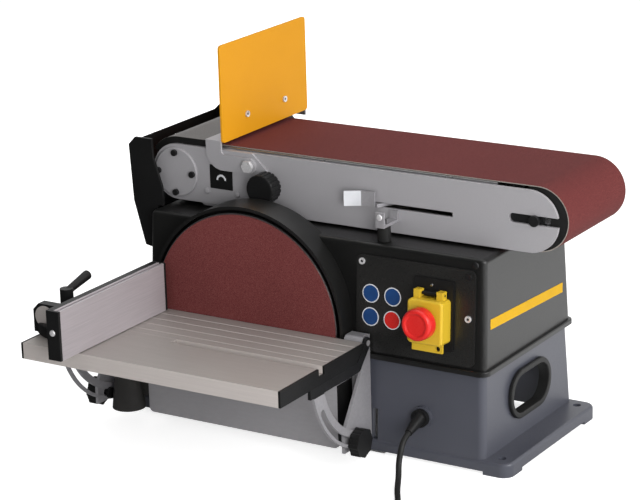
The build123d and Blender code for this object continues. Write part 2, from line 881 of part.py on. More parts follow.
with BuildPart() as drum_hood:
    prism_y(hood_profile, hood_front_y, hood_rear_y)
    prism_y(hood_hollow, hood_front_y + hood_wall, hood_rear_y - hood_wall, mode=Mode.SUBTRACT)
    rod_x(
        belt_mid_y, hood_outlet_z, hood_outlet_radius + hood_outlet_wall,
        hood_left_x - hood_outlet_length, hood_left_x + hood_wall - overrun,
    )
    rod_x(
        belt_mid_y, hood_outlet_z, hood_outlet_radius,
        hood_left_x - hood_outlet_length - overrun, hood_left_x + 3 * hood_wall, mode=Mode.SUBTRACT,
    )
    rod_y(
        drum_axis_x, drum_axis_z, pivot_boss_radius + hood_boss_play,
        hood_rear_y - hood_wall - overrun, hood_rear_y + overrun, mode=Mode.SUBTRACT,
    )
drum_hood.part.label = "drum_hood"
export_step(drum_hood.part, "parts/drum_hood.step")

# Lower disc guard: a sheet box that is open at the top and the back
guard_box_width = guard_box_right_x - guard_box_left_x
guard_box_x = (guard_box_right_x + guard_box_left_x) / 2
guard_box_height = guard_box_top_z - guard_box_bottom_z
guard_box_lip_y = -flange_depth / 2 - part_gap
guard_box_rear_y = -base_foot_depth / 2 - part_gap
neck_front_y = spigot_neck_y - spigot_neck_half
neck_rear_y = spigot_neck_y + spigot_neck_half
with BuildPart() as lower_disc_guard:
    with BuildSketch(front_plane(guard_box_rear_y)):
        with Locations((guard_box_x, guard_box_bottom_z + guard_box_height)):
            RectangleRounded(guard_box_width, 2 * guard_box_height, guard_box_corner)
        with Locations((guard_box_x, guard_box_top_z + guard_box_height)):
            Rectangle(2 * guard_box_width, 2 * guard_box_height, mode=Mode.SUBTRACT)
    extrude(amount=guard_box_rear_y - guard_box_front_y)
    with BuildSketch(front_plane(0)):
        with Locations((guard_box_x, guard_box_bottom_z + guard_box_wall + guard_box_height)):
            RectangleRounded(
                guard_box_width - 2 * guard_box_wall, 2 * guard_box_height, guard_box_corner - guard_box_wall
            )
    extrude(amount=-guard_box_front_y - guard_box_wall, mode=Mode.SUBTRACT)
    block(
        guard_box_left_x - overrun, guard_box_right_x + overrun, guard_box_lip_y, 0.0,
        0.0, flange_thickness + part_gap, mode=Mode.SUBTRACT,
    )
    block(
        guard_box_left_x - overrun, guard_box_left_x + 2 * guard_box_wall,
        neck_front_y + spigot_wall, neck_rear_y - spigot_wall,
        spigot_neck_bottom_z + spigot_wall, spigot_top_z - spigot_wall, mode=Mode.SUBTRACT,
    )
lower_disc_guard.part.label = "lower_disc_guard"
export_step(lower_disc_guard.part, "parts/lower_disc_guard.step")

# Dust spigot that points down on the left of the guard
with BuildPart() as dust_spigot:
    with BuildSketch(Plane.XY.offset(spigot_mouth_z)) as mouth:
        with Locations((spigot_x, spigot_y)):
            Circle(spigot_mouth_radius)
    with BuildSketch(Plane.XY.offset(spigot_top_z)) as crown:
        with Locations((spigot_x, spigot_y)):
            Circle(spigot_top_radius)
    loft([mouth.sketch.face(), crown.sketch.face()])
    block(
        spigot_x, guard_box_left_x - running_clearance, neck_front_y, neck_rear_y, spigot_neck_bottom_z,
        spigot_top_z
    )
    with BuildSketch(Plane.XY.offset(spigot_mouth_z - overrun)) as inner_mouth:
        with Locations((spigot_x, spigot_y)):
            Circle(spigot_mouth_radius - spigot_wall)
    with BuildSketch(Plane.XY.offset(spigot_top_z - spigot_wall)) as inner_crown:
        with Locations((spigot_x, spigot_y)):
            Circle(spigot_top_radius - spigot_wall)
    loft([inner_mouth.sketch.face(), inner_crown.sketch.face()], mode=Mode.SUBTRACT)
    block(
        spigot_x + spigot_wall, guard_box_left_x + overrun, neck_front_y + spigot_wall,
        neck_rear_y - spigot_wall,
        spigot_neck_bottom_z + spigot_wall, spigot_top_z - spigot_wall, mode=Mode.SUBTRACT,
    )
dust_spigot.part.label = "dust_spigot"
export_step(dust_spigot.part, "parts/dust_spigot.step")

# Table brackets with their pivot studs
bracket_outline = [
    (bracket_seat_y, bracket_foot_z),
    (bracket_toe_y, bracket_foot_z),
    (bracket_toe_y, bracket_toe_z),
    (hinge_y - bracket_neck, hinge_z - bracket_neck_drop),
    (hinge_y - hinge_eye_radius, hinge_z),
    (bracket_seat_y, hinge_z),
]
bracket_top_z = hinge_z + hinge_eye_radius
barrel_left_x = left_quadrant_x + trunnion_plate + bracket_gap
barrel_right_x = barrel_left_x + hinge_barrel
with BuildPart() as table_brackets:
    for plate_x in (left_bracket_x, right_bracket_x):
        prism_x(bracket_outline, plate_x, plate_x + bracket_plate)
        rod_x(hinge_y, hinge_z, hinge_eye_radius, plate_x, plate_x + bracket_plate)
    block(
        right_flange_x, right_bracket_x + bracket_plate, bracket_seat_y - bracket_flange, bracket_seat_y,
        bracket_flange_bottom_z, bracket_top_z,
    )
    block(
        left_bracket_x, left_flange_x, bracket_seat_y - bracket_flange, bracket_seat_y,
        bracket_flange_bottom_z, bracket_top_z,
    )
    for barrel_x0, barrel_x1 in ((right_flange_x, right_bracket_x), (barrel_left_x, barrel_right_x)):
        rod_x(hinge_y, hinge_z, hinge_eye_radius, barrel_x0, barrel_x1)
        block(
            barrel_x0, barrel_x1, hinge_y, bracket_seat_y, bracket_top_z - bracket_flange, bracket_top_z
        )
    rod_x(
        hinge_y, hinge_z, hinge_stud_radius, right_bracket_x,
        right_quadrant_x + trunnion_plate + hinge_stud_end,
    )
    rod_x(hinge_y, hinge_z, hinge_stud_radius, left_bracket_x, barrel_left_x)
    for plate_x in (left_bracket_x, right_bracket_x):
        rod_x(
            lock_y, lock_z, lock_stud_radius + running_clearance,
            plate_x - overrun, plate_x + bracket_plate + overrun, mode=Mode.SUBTRACT,
        )
    for screw_z in bracket_screw_z:
        for screw_x in (right_screw_x, left_screw_x):
            rod_y(
                screw_x, screw_z, screw_shank_radius + screw_clearance,
                bracket_seat_y - bracket_flange - overrun, bracket_seat_y + overrun, mode=Mode.SUBTRACT,
            )
table_brackets.part.label = "table_brackets"
export_step(table_brackets.part, "parts/table_brackets.step")

# Screws of the switch panel and the table brackets
bracket_face_y = bracket_seat_y - bracket_flange
with BuildPart() as machine_screws:
    for screw_u, screw_v in panel_screws:
        face_rod(screw_u, screw_v, screw_head_radius, panel_thickness, panel_thickness + screw_head)
        face_rod(screw_u, screw_v, screw_shank_radius, panel_thickness, -housing_wall + screw_end)
    for screw_z in bracket_screw_z:
        for screw_x in (right_screw_x, left_screw_x):
            rod_y(screw_x, screw_z, screw_head_radius, bracket_face_y - screw_head, bracket_face_y)
            rod_y(
                screw_x, screw_z, screw_shank_radius, bracket_face_y,
                bracket_seat_y + screw_shank - screw_end,
            )
machine_screws.part.label = "machine_screws"
export_step(machine_screws.part, "parts/machine_screws.step")

# Switch panel and switch block
panel_u = (panel_left_x + panel_right_x) / 2
panel_v = (panel_bottom_v + panel_top_v) / 2
box_width = switch_width - 2 * switch_box_margin
box_height = switch_height - 2 * switch_box_margin
with BuildPart() as switch_panel:
    face_block(
        panel_u, panel_v, panel_right_x - panel_left_x, panel_top_v - panel_bottom_v, 0.0, panel_thickness,
        panel_corner
    )
    face_block(
        switch_x, switch_v, box_width + 2 * part_gap, box_height + 2 * part_gap,
        -overrun, panel_thickness + overrun, mode=Mode.SUBTRACT,
    )
    for screw_u, screw_v in panel_screws:
        face_rod(
            screw_u, screw_v, screw_shank_radius + screw_clearance, -overrun, panel_thickness + overrun,
            mode=Mode.SUBTRACT
        )
switch_panel.part.label = "switch_panel"
export_step(switch_panel.part, "parts/switch_panel.step")

ear_half = flap_lug_u - flap_lug_width / 2 - part_gap
pin_half = flap_lug_u + flap_lug_width / 2
button_bore_floor = switch_out - button_depth - mushroom_travel - button_spare
hinge_place = face_plane(flap_hinge_out).from_local_coords((switch_x, flap_hinge_v, 0))
hinge_plane = Plane(hinge_place, z_dir=(1, 0, 0))
with BuildPart() as switch_body:
    face_block(switch_x, switch_v, switch_width, switch_height, panel_thickness, switch_out, switch_corner)
    face_block(switch_x, switch_v, box_width, box_height, panel_thickness - switch_depth, panel_thickness)
    face_block(
        switch_x, flap_hinge_v, 2 * ear_half, 2 * flap_hinge_radius, switch_out - overrun, flap_hinge_out,
    )
    for barrel_radius, barrel_half in ((flap_hinge_radius, ear_half), (flap_pin_radius, pin_half)):
        with BuildSketch(hinge_plane):
            Circle(barrel_radius)
        extrude(amount=barrel_half, both=True)
    for button_v in (stop_v, start_v):
        face_rod(
            switch_x, button_v, button_radius + running_clearance, switch_out + overrun, button_bore_floor,
            mode=Mode.SUBTRACT
        )
switch_body.part.label = "switch_body"
export_step(switch_body.part, "parts/switch_body.step")

# Motor inside the housing
with BuildPart() as motor_end_bells:
    rod_y(disc_axis_x, disc_axis_z, motor_radius, motor_seat_y, bell_rear_y)
    rod_y(disc_axis_x, disc_axis_z, motor_radius, stator_rear_y + part_gap, motor_rear_y)
    for bore_y0, bore_y1 in (
        (bell_rear_y - bearing_width, bell_rear_y + overrun),
        (stator_rear_y, stator_rear_y + part_gap + bearing_width),
    ):
        rod_y(
            disc_axis_x, disc_axis_z, bearing_radius + running_clearance, bore_y0, bore_y1, mode=Mode.SUBTRACT
        )
    rod_y(
        disc_axis_x, disc_axis_z, shaft_radius + shaft_play, motor_seat_y - overrun, motor_rear_y + overrun,
        mode=Mode.SUBTRACT
    )
motor_end_bells.part.label = "motor_end_bells"
export_step(motor_end_bells.part, "parts/motor_end_bells.step")

with BuildPart() as motor_stator:
    rod_y(disc_axis_x, disc_axis_z, motor_radius, bell_rear_y + part_gap, stator_rear_y)
    rod_y(disc_axis_x, disc_axis_z, stator_bore, bell_rear_y, stator_rear_y + overrun, mode=Mode.SUBTRACT)
motor_stator.part.label = "motor_stator"
export_step(motor_stator.part, "parts/motor_stator.step")

rotor_front_y = (bell_rear_y + stator_rear_y - rotor_length) / 2
shaft_front_y = disc_face_y + abrasive_thickness + shaft_inset
with BuildPart() as motor_rotor:
    rod_y(disc_axis_x, disc_axis_z, shaft_radius, shaft_front_y, pulley_rear_y + shaft_end)
    rod_y(disc_axis_x, disc_axis_z, stator_bore - rotor_gap, rotor_front_y, rotor_front_y + rotor_length)
motor_rotor.part.label = "motor_rotor"
export_step(motor_rotor.part, "parts/motor_rotor.step")

with BuildPart() as motor_bearings:
    rod_y(disc_axis_x, disc_axis_z, bearing_radius, bell_rear_y - bearing_width + bearing_play, bell_rear_y)
    rear_bearing_y = stator_rear_y + part_gap
    rod_y(
        disc_axis_x, disc_axis_z, bearing_radius, rear_bearing_y,
        rear_bearing_y + bearing_width - bearing_play,
    )
    rod_y(disc_axis_x, disc_axis_z, shaft_radius + fit, motor_seat_y, motor_rear_y, mode=Mode.SUBTRACT)
motor_bearings.part.label = "motor_bearings"
export_step(motor_bearings.part, "parts/motor_bearings.step")

with BuildPart() as motor_pulley:
    rod_y(disc_axis_x, disc_axis_z, motor_pulley_radius, pulley_y, pulley_rear_y)
    rod_y(
        disc_axis_x, disc_axis_z, shaft_radius + fit, pulley_y - overrun, pulley_rear_y + overrun,
        mode=Mode.SUBTRACT,
    )
motor_pulley.part.label = "motor_pulley"
export_step(motor_pulley.part, "parts/motor_pulley.step")

# Sanding disc
with BuildPart() as disc_plate:
    rod_y(disc_axis_x, disc_axis_z, disc_plate_radius, disc_face_y + abrasive_thickness, disc_back_y)
    rod_y(disc_axis_x, disc_axis_z, disc_hub_radius, disc_back_y, disc_back_y + disc_hub_length)
    rod_y(
        disc_axis_x, disc_axis_z, shaft_radius + fit, disc_face_y, disc_back_y + disc_hub_length + overrun,
        mode=Mode.SUBTRACT,
    )
disc_plate.part.label = "disc_plate"
export_step(disc_plate.part, "parts/disc_plate.step")

with BuildPart() as abrasive_disc:
    rod_y(disc_axis_x, disc_axis_z, abrasive_radius, disc_face_y, disc_face_y + abrasive_thickness)
abrasive_disc.part.label = "abrasive_disc"
export_step(abrasive_disc.part, "parts/abrasive_disc.step")

# Drive at the back: pivot bracket, belt and cover
pivot_boss_y = arm_rear_in_y - belt_side_gap / 2
with BuildPart() as pivot_bracket:
    drive_prism(pivot_plate_radius, pivot_plate_radius, pivot_plate_y, pivot_plate_y + pivot_plate_thickness)
    rod_y(drum_axis_x, drum_axis_z, pivot_boss_radius, pivot_boss_y, pivot_plate_y + overrun)
    rod_y(
        drum_axis_x, drum_axis_z, drum_bearing_radius + running_clearance,
        pivot_boss_y - overrun, pivot_plate_y + pivot_plate_thickness + overrun, mode=Mode.SUBTRACT,
    )
    rod_y(
        disc_axis_x, disc_axis_z, shaft_hole_radius, pivot_plate_y - overrun,
        pivot_plate_y + pivot_plate_thickness + overrun, mode=Mode.SUBTRACT,
    )
pivot_bracket.part.label = "pivot_bracket"
export_step(pivot_bracket.part, "parts/pivot_bracket.step")

with BuildPart() as drive_belt:
    drive_prism(
        motor_pulley_radius + part_gap + drive_belt_thickness,
        drum_pulley_radius + part_gap + drive_belt_thickness,
        pulley_y + drive_belt_inset, pulley_rear_y - drive_belt_inset,
    )
    drive_prism(
        motor_pulley_radius + part_gap, drum_pulley_radius + part_gap, pulley_y, pulley_rear_y,
        mode=Mode.SUBTRACT
    )
drive_belt.part.label = "drive_belt"
export_step(drive_belt.part, "parts/drive_belt.step")

cover_front_y = pivot_plate_y + pivot_plate_thickness
with BuildPart() as rear_belt_cover:
    drive_prism(pivot_plate_radius, pivot_plate_radius, cover_front_y, cover_rear_y)
    fillet(rear_belt_cover.faces().sort_by(Axis.Y)[-1].edges(), radius=cover_edge)
    drive_prism(
        pivot_plate_radius - cover_wall, pivot_plate_radius - cover_wall,
        cover_front_y - overrun, cover_rear_y - cover_wall, mode=Mode.SUBTRACT,
    )
rear_belt_cover.part.label = "rear_belt_cover"
export_step(rear_belt_cover.part, "parts/rear_belt_cover.step")

# Drive drum
with BuildPart() as drive_drum:
    rod_y(drum_axis_x, drum_axis_z, drum_radius, belt_front_y, belt_rear_y)
    rod_y(
        drum_axis_x, drum_axis_z, axle_radius, casting_front_y + drum_bearing_inset,
        pulley_rear_y + shaft_end,
    )
drive_drum.part.label = "drive_drum"
export_step(drive_drum.part, "parts/drive_drum.step")

with BuildPart() as drum_pulley:
    rod_y(drum_axis_x, drum_axis_z, drum_pulley_radius, pulley_y, pulley_rear_y)
    rod_y(
        drum_axis_x, drum_axis_z, axle_radius + fit, pulley_y - overrun, pulley_rear_y + overrun,
        mode=Mode.SUBTRACT,
    )
drum_pulley.part.label = "drum_pulley"
export_step(drum_pulley.part, "parts/drum_pulley.step")

drum_bearing_front_y = casting_front_y + drum_bearing_inset
drum_bearing_rear_y = pivot_plate_y + pivot_plate_thickness - drum_bearing_width
with BuildPart() as drum_bearings:
    for bearing_y in (drum_bearing_front_y, drum_bearing_rear_y):
        rod_y(drum_axis_x, drum_axis_z, drum_bearing_radius, bearing_y, bearing_y + drum_bearing_width)
        rod_y(
            drum_axis_x, drum_axis_z, axle_radius + fit, bearing_y - overrun,
            bearing_y + drum_bearing_width + overrun,
            mode=Mode.SUBTRACT,
        )
drum_bearings.part.label = "drum_bearings"
export_step(drum_bearings.part, "parts/drum_bearings.step")

# Belt arm: side plates
idler_travel = 2 * lever_crank * math.sin(math.radians(lever_half_swing))
axle_slot = axle_end_radius + axle_play
axle_slot_x = idler_axis_x - idler_travel - axle_play - axle_slot_spare
axle_slot_end_x = idler_axis_x + arm_half_height + arm_skirt
swing_slope = math.tan(math.radians(lever_half_swing))
lever_slot_half = (
    (belt_mid_y - arm_front_y) * swing_slope
    + lever_width / 2 / math.cos(math.radians(lever_half_swing)) + lever_slot_spare
)


def arm_side(y0, y1):
    arm_top_z = drum_axis_z + arm_half_height
    arm_low_z = drum_axis_z - arm_half_height
    skirt_z = drum_axis_z - arm_skirt
    skirt_x = drum_axis_x + arm_skirt_start
    end_x = idler_axis_x - arm_end_inset
    end_radius = (arm_top_z - skirt_z) / 2
    with BuildSketch(front_plane(y1)) as outline:
        with BuildLine():
            ThreePointArc(
                (drum_axis_x, arm_top_z), (drum_axis_x - arm_half_height, drum_axis_z),
                (drum_axis_x, arm_low_z)
            )
            Polyline(
                (drum_axis_x, arm_low_z), (skirt_x, arm_low_z), (skirt_x + arm_skirt_slope, skirt_z),
                (end_x, skirt_z)
            )
            ThreePointArc((end_x, skirt_z), (end_x + end_radius, skirt_z + end_radius), (end_x, arm_top_z))
            Line((end_x, arm_top_z), (drum_axis_x, arm_top_z))
        make_face()
    extrude(outline.sketch, amount=y1 - y0)


with BuildPart() as arm_plate_front:
    arm_side(arm_front_y, arm_front_in_y)
    rod_y(
        drum_axis_x, drum_axis_z, casting_boss_radius + screw_clearance, arm_front_y - overrun,
        arm_front_in_y + overrun,
        mode=Mode.SUBTRACT,
    )
    rod_y(
        tracking_x, tracking_z, tracking_stem_radius + running_clearance, arm_front_y - overrun,
        arm_front_in_y + overrun,
        mode=Mode.SUBTRACT,
    )
    slot_y(
        axle_slot_x, axle_slot_end_x, drum_axis_z, axle_slot, arm_front_y - overrun, arm_front_in_y + overrun,
        mode=Mode.SUBTRACT,
    )
    block(
        lever_pivot_x - lever_slot_half, lever_pivot_x + lever_slot_half, arm_front_y - overrun,
        arm_front_in_y + overrun,
        lever_z - lever_thickness / 2 - lever_slot_play, lever_z + lever_thickness / 2 + lever_slot_play,
        mode=Mode.SUBTRACT,
    )
arm_plate_front.part.label = "arm_plate_front"
export_step(arm_plate_front.part, "parts/arm_plate_front.step")

with BuildPart() as arm_plate_rear:
    arm_side(arm_rear_in_y, arm_rear_y)
    rod_y(
        drum_axis_x, drum_axis_z, pivot_boss_radius + running_clearance, arm_rear_in_y - overrun,
        arm_rear_y + overrun,
        mode=Mode.SUBTRACT,
    )
    slot_y(
        axle_slot_x, axle_slot_end_x, drum_axis_z, axle_slot, arm_rear_in_y - overrun, arm_rear_y + overrun,
        mode=Mode.SUBTRACT,
    )
arm_plate_rear.part.label = "arm_plate_rear"
export_step(arm_plate_rear.part, "parts/arm_plate_rear.step")

# Casting at the drive end of the arm, with the bearing cover and the screws
casting_outline = [
    (drum_axis_x, drum_axis_z + arm_half_height),
    (tracking_x - casting_top_back, drum_axis_z + arm_half_height),
    (tracking_x + casting_nose, drum_axis_z + casting_nose_rise),
    (tracking_x + casting_nose, drum_axis_z - casting_nose_drop),
    (tracking_x - casting_foot_back, drum_axis_z - arm_half_height),
    (drum_axis_x, drum_axis_z - arm_half_height),
]
cover_screw_places = []
for quarter in range(4):
    turn = math.radians(90.0 * quarter)
    cover_screw_places.append(
        (drum_axis_x + cover_screw_circle * math.cos(turn), drum_axis_z + cover_screw_circle * math.sin(turn))
    )
with BuildPart() as drive_end_casting:
    prism_y(casting_outline, casting_front_y, arm_front_y)
    rod_y(drum_axis_x, drum_axis_z, arm_half_height, casting_front_y, arm_front_y)
    rod_y(
        drum_axis_x, drum_axis_z, casting_boss_radius, arm_front_y - overrun,
        belt_front_y - casting_boss_gap,
    )
    rod_y(
        drum_axis_x, drum_axis_z, drum_bearing_radius + running_clearance, casting_front_y - overrun,
        belt_front_y,
        mode=Mode.SUBTRACT,
    )
    rod_y(
        tracking_x, tracking_z, tracking_stem_radius + running_clearance, casting_front_y - overrun,
        arm_front_y + overrun,
        mode=Mode.SUBTRACT,
    )
    for screw_x, screw_z in cover_screw_places:
        rod_y(
            screw_x, screw_z, screw_shank_radius + screw_clearance, casting_front_y - overrun,
            arm_front_y + overrun,
            mode=Mode.SUBTRACT,
        )
    rod_y(
        stop_bolt_x, stop_bolt_z, stop_bolt_radius + screw_clearance, casting_front_y - overrun,
        arm_front_y + overrun,
        mode=Mode.SUBTRACT,
    )
drive_end_casting.part.label = "drive_end_casting"
export_step(drive_end_casting.part, "parts/drive_end_casting.step")

with BuildPart() as drum_cover:
    rod_y(drum_axis_x, drum_axis_z, drum_cover_radius, drum_cover_front_y, casting_front_y)
    chamfer(drum_cover.faces().sort_by(Axis.Y)[0].edges(), length=drum_cover_edge)
    for screw_x, screw_z in cover_screw_places:
        rod_y(
            screw_x, screw_z, screw_shank_radius + screw_clearance, drum_cover_front_y - overrun,
            casting_front_y + overrun,
            mode=Mode.SUBTRACT,
        )
drum_cover.part.label = "drum_cover"
export_step(drum_cover.part, "parts/drum_cover.step")

stop_screw_z = stop_bottom_z + stop_screw_rise
stop_screw_places = [
    (stop_front_y + stop_screw_front, stop_screw_z),
    (stop_rear_y - stop_screw_rear, stop_screw_z),
]
stop_back_x = stop_face_x - stop_plate_thickness
stop_hook_y = casting_front_y - stop_bracket_thickness
with BuildPart() as arm_screws:
    for screw_x, screw_z in cover_screw_places:
        rod_y(screw_x, screw_z, screw_head_radius, drum_cover_front_y - screw_cap, drum_cover_front_y)
        rod_y(screw_x, screw_z, screw_shank_radius, drum_cover_front_y - overrun, arm_front_y - part_gap)
    for screw_y, screw_z in stop_screw_places:
        rod_x(screw_y, screw_z, screw_head_radius, stop_face_x, stop_face_x + screw_head)
        rod_x(
            screw_y, screw_z, screw_shank_radius, stop_back_x - stop_bracket_thickness - overrun,
            stop_face_x + overrun
        )
    with BuildSketch(front_plane(stop_hook_y)):
        with Locations((stop_bolt_x, stop_bolt_z)):
            RegularPolygon(hex_radius, 6)
    extrude(amount=hex_height)
    rod_y(stop_bolt_x, stop_bolt_z, stop_bolt_radius, stop_hook_y - overrun, arm_front_y - part_gap)
arm_screws.part.label = "arm_screws"
export_step(arm_screws.part, "parts/arm_screws.step")

# Guard over the drive end of the belt
guard_inner = belt_outer + guard_gap
guard_outer = guard_inner + guard_wall
guard_flange_inner = arm_half_height + part_gap


def guard_section(inner, outer, y0, y1):
    with BuildSketch(front_plane(y1)) as section:
        with BuildLine():
            top = CenterArc((drum_axis_x, drum_axis_z), outer, 90, guard_sweep)
            low = CenterArc((drum_axis_x, drum_axis_z), inner, 90, guard_sweep)
            Line(top @ 1, low @ 1)
            Polyline(
                low @ 0, (guard_end_x, drum_axis_z + inner), (guard_end_x, drum_axis_z + outer), top @ 0
            )
        make_face()
    extrude(section.sketch, amount=y1 - y0)


with BuildPart() as drum_guard:
    guard_section(guard_inner, guard_outer, arm_front_y, arm_rear_y)
    guard_section(guard_flange_inner, guard_outer, arm_front_y, arm_front_y + guard_flange)
    guard_section(guard_flange_inner, guard_outer, arm_rear_y - guard_flange, arm_rear_y)
drum_guard.part.label = "drum_guard"
export_step(drum_guard.part, "parts/drum_guard.step")

# Platen under the belt, with the pivot pin of the tension lever
with BuildPart() as platen:
    block(platen_left_x, platen_right_x, arm_front_in_y, arm_rear_in_y, platen_bottom_z, platen_top_z)
    block(
        platen_left_x, platen_right_x, arm_front_in_y, arm_front_in_y + arm_plate,
        platen_top_z - platen_side, platen_top_z
    )
    block(
        platen_left_x, platen_right_x, arm_rear_in_y - arm_plate, arm_rear_in_y, platen_top_z - platen_side,
        platen_top_z
    )
    rod_z(lever_pivot_x, belt_mid_y, lever_pin_radius, lever_z - lever_thickness, platen_bottom_z + overrun)
platen.part.label = "platen"
export_step(platen.part, "parts/platen.step")

# Sanding belt
with BuildPart() as abrasive_belt:
    slot_y(drum_axis_x, idler_axis_x, drum_axis_z, belt_outer, belt_front_y, belt_rear_y)
    slot_y(
        drum_axis_x, idler_axis_x, drum_axis_z, belt_inner, belt_front_y - overrun, belt_rear_y + overrun,
        mode=Mode.SUBTRACT
    )
abrasive_belt.part.label = "abrasive_belt"
export_step(abrasive_belt.part, "parts/abrasive_belt.step")

# Work stop on the arm
stop_leg_z = stop_bottom_z + stop_bracket_gap
stop_leg_top_z = stop_leg_z + stop_bracket_thickness
stop_outer_x = stop_back_x - stop_bracket_width
stop_tab_y = stop_rear_y + stop_tab_reach
hook_low_z = stop_bolt_z - stop_band / 2
hook_high_z = stop_bolt_z + stop_band / 2
hook_outline = [
    (stop_outer_x, stop_leg_top_z),
    (stop_back_x, stop_leg_top_z),
    (stop_back_x, hook_high_z),
    (stop_bolt_x, hook_high_z),
    (stop_bolt_x, hook_low_z),
    (stop_outer_x, hook_low_z),
]
with BuildSketch(front_plane(casting_front_y)) as hook:
    Polygon(*hook_outline)
    outer_corner = hook.vertices().sort_by_distance((stop_outer_x, hook_low_z, 0))[0]
    fillet(outer_corner, radius=hook_outer_bend)
    inner_corner = hook.vertices().sort_by_distance((stop_back_x, hook_high_z, 0))[0]
    fillet(inner_corner, radius=hook_inner_bend)
with BuildPart() as stop_bracket:
    block(
        stop_outer_x, stop_back_x, stop_hook_y, stop_tab_y, stop_leg_z, stop_leg_top_z
    )
    block(
        stop_back_x - stop_bracket_thickness, stop_back_x, arm_front_y, stop_rear_y - stop_leg_inset,
        stop_leg_z, stop_leg_z + stop_leg_height,
    )
    extrude(hook.sketch, amount=stop_bracket_thickness)
    rod_y(stop_bolt_x, stop_bolt_z, stop_band / 2, stop_hook_y, stop_hook_y + stop_bracket_thickness)
    block(
        stop_outer_x, stop_back_x, stop_tab_y - stop_bracket_thickness, stop_tab_y,
        stop_leg_z - stop_tab_drop, stop_leg_top_z,
    )
    rod_y(
        stop_bolt_x, stop_bolt_z, stop_bolt_radius + screw_clearance,
        stop_hook_y - overrun, stop_hook_y + stop_bracket_thickness + overrun, mode=Mode.SUBTRACT,
    )
    for screw_y, screw_z in stop_screw_places:
        rod_x(
            screw_y, screw_z, screw_shank_radius + screw_clearance,
            stop_back_x - stop_bracket_thickness - overrun, stop_back_x + overrun, mode=Mode.SUBTRACT,
        )
stop_bracket.part.label = "stop_bracket"
export_step(stop_bracket.part, "parts/stop_bracket.step")

with BuildPart() as stop_plate:
    with BuildSketch(Plane.YZ.offset(stop_back_x)):
        with Locations(((stop_front_y + stop_rear_y) / 2, (stop_bottom_z + stop_top_z) / 2)):
            RectangleRounded(stop_rear_y - stop_front_y, stop_top_z - stop_bottom_z, stop_corner)
    extrude(amount=stop_plate_thickness)
    fillet(stop_plate.faces().sort_by(Axis.X)[-1].edges(), radius=stop_edge)
    for screw_y, screw_z in stop_screw_places:
        rod_x(
            screw_y, screw_z, screw_shank_radius + screw_clearance, stop_back_x - overrun,
            stop_face_x + overrun,
            mode=Mode.SUBTRACT,
        )
stop_plate.part.label = "stop_plate"
export_step(stop_plate.part, "parts/stop_plate.step")

# Bumper that the arm rests on
bumper_left_x = bumper_x - bumper_width / 2
bumper_right_x = bumper_x + bumper_width / 2
with BuildPart() as bumper_bracket:
    block(
        bumper_left_x, bumper_right_x, arm_front_y - bumper_wall, arm_front_y, bumper_bottom_z,
        lever_z - lever_thickness / 2 - lever_slot_play - bumper_gap,
    )
    block(
        bumper_left_x, bumper_right_x, bumper_front_y, arm_front_y, bumper_bottom_z,
        bumper_bottom_z + bumper_wall
    )
    block(
        bumper_left_x, bumper_right_x, bumper_front_y, bumper_front_y + bumper_wall,
        bumper_bottom_z, bumper_bottom_z + bumper_leg,
    )
    rod_z(
        bumper_x, bumper_y, bumper_stud_radius + screw_clearance,
        bumper_bottom_z - overrun, bumper_bottom_z + bumper_wall + overrun, mode=Mode.SUBTRACT,
    )
bumper_bracket.part.label = "bumper_bracket"
export_step(bumper_bracket.part, "parts/bumper_bracket.step")

with BuildPart() as bumper_foot:
    rod_z(bumper_x, bumper_y, bumper_radius, housing_top_z + running_clearance, bumper_bottom_z)
    fillet(bumper_foot.faces().sort_by(Axis.Z)[0].edges(), radius=bumper_edge)
    bumper_stud_top_z = bumper_bottom_z + bumper_wall + bumper_stud_end
    rod_z(bumper_x, bumper_y, bumper_stud_radius, bumper_bottom_z - overrun, bumper_stud_top_z)
bumper_foot.part.label = "bumper_foot"
export_step(bumper_foot.part, "parts/bumper_foot.step")

# Tension lever: it swings about the platen's pin and draws the idler in
lever_out = belt_mid_y - arm_front_y + lever_stand
lever_reach = lever_out / math.cos(math.radians(lever_half_swing))
lever_tip_x = lever_pivot_x + lever_reach * math.cos(lever_rest)
lever_tip_y = belt_mid_y + lever_reach * math.sin(lever_rest)
tab_bend = math.radians(lever_tab_bend)
tab_half = lever_tab_thickness / 2
tab_root_x = lever_tip_x + lever_tab_root
tab_knee_x = lever_tip_x - lever_tab_run
tab_knee_shift = tab_half * math.tan(tab_bend / 2)
tab_end_x = tab_knee_x - lever_tab_length * math.cos(tab_bend)
tab_end_y = lever_tip_y - lever_tab_length * math.sin(tab_bend)
tab_side_x = tab_half * math.sin(tab_bend)
tab_side_y = tab_half * math.cos(tab_bend)
tab_outline = [
    (tab_root_x, lever_tip_y + tab_half),
    (tab_knee_x - tab_knee_shift, lever_tip_y + tab_half),
    (tab_end_x - tab_side_x, tab_end_y + tab_side_y),
    (tab_end_x + tab_side_x, tab_end_y - tab_side_y),
    (tab_knee_x + tab_knee_shift, lever_tip_y - tab_half),
    (tab_root_x, lever_tip_y - tab_half),
]
lever_bar = lever_reach - lever_tab_thickness
crank_turn = lever_rest + math.pi
crank_x = lever_pivot_x + lever_crank * math.cos(crank_turn)
crank_y = belt_mid_y + lever_crank * math.sin(crank_turn)
lever_plane = Plane(
    origin=(lever_pivot_x, belt_mid_y, lever_z - lever_thickness / 2),
    x_dir=(math.cos(lever_rest), math.sin(lever_rest), 0),
    z_dir=(0, 0, 1),
)
crank_pin_top = lever_z + lever_thickness / 2 + 2 * pull_rod_radius
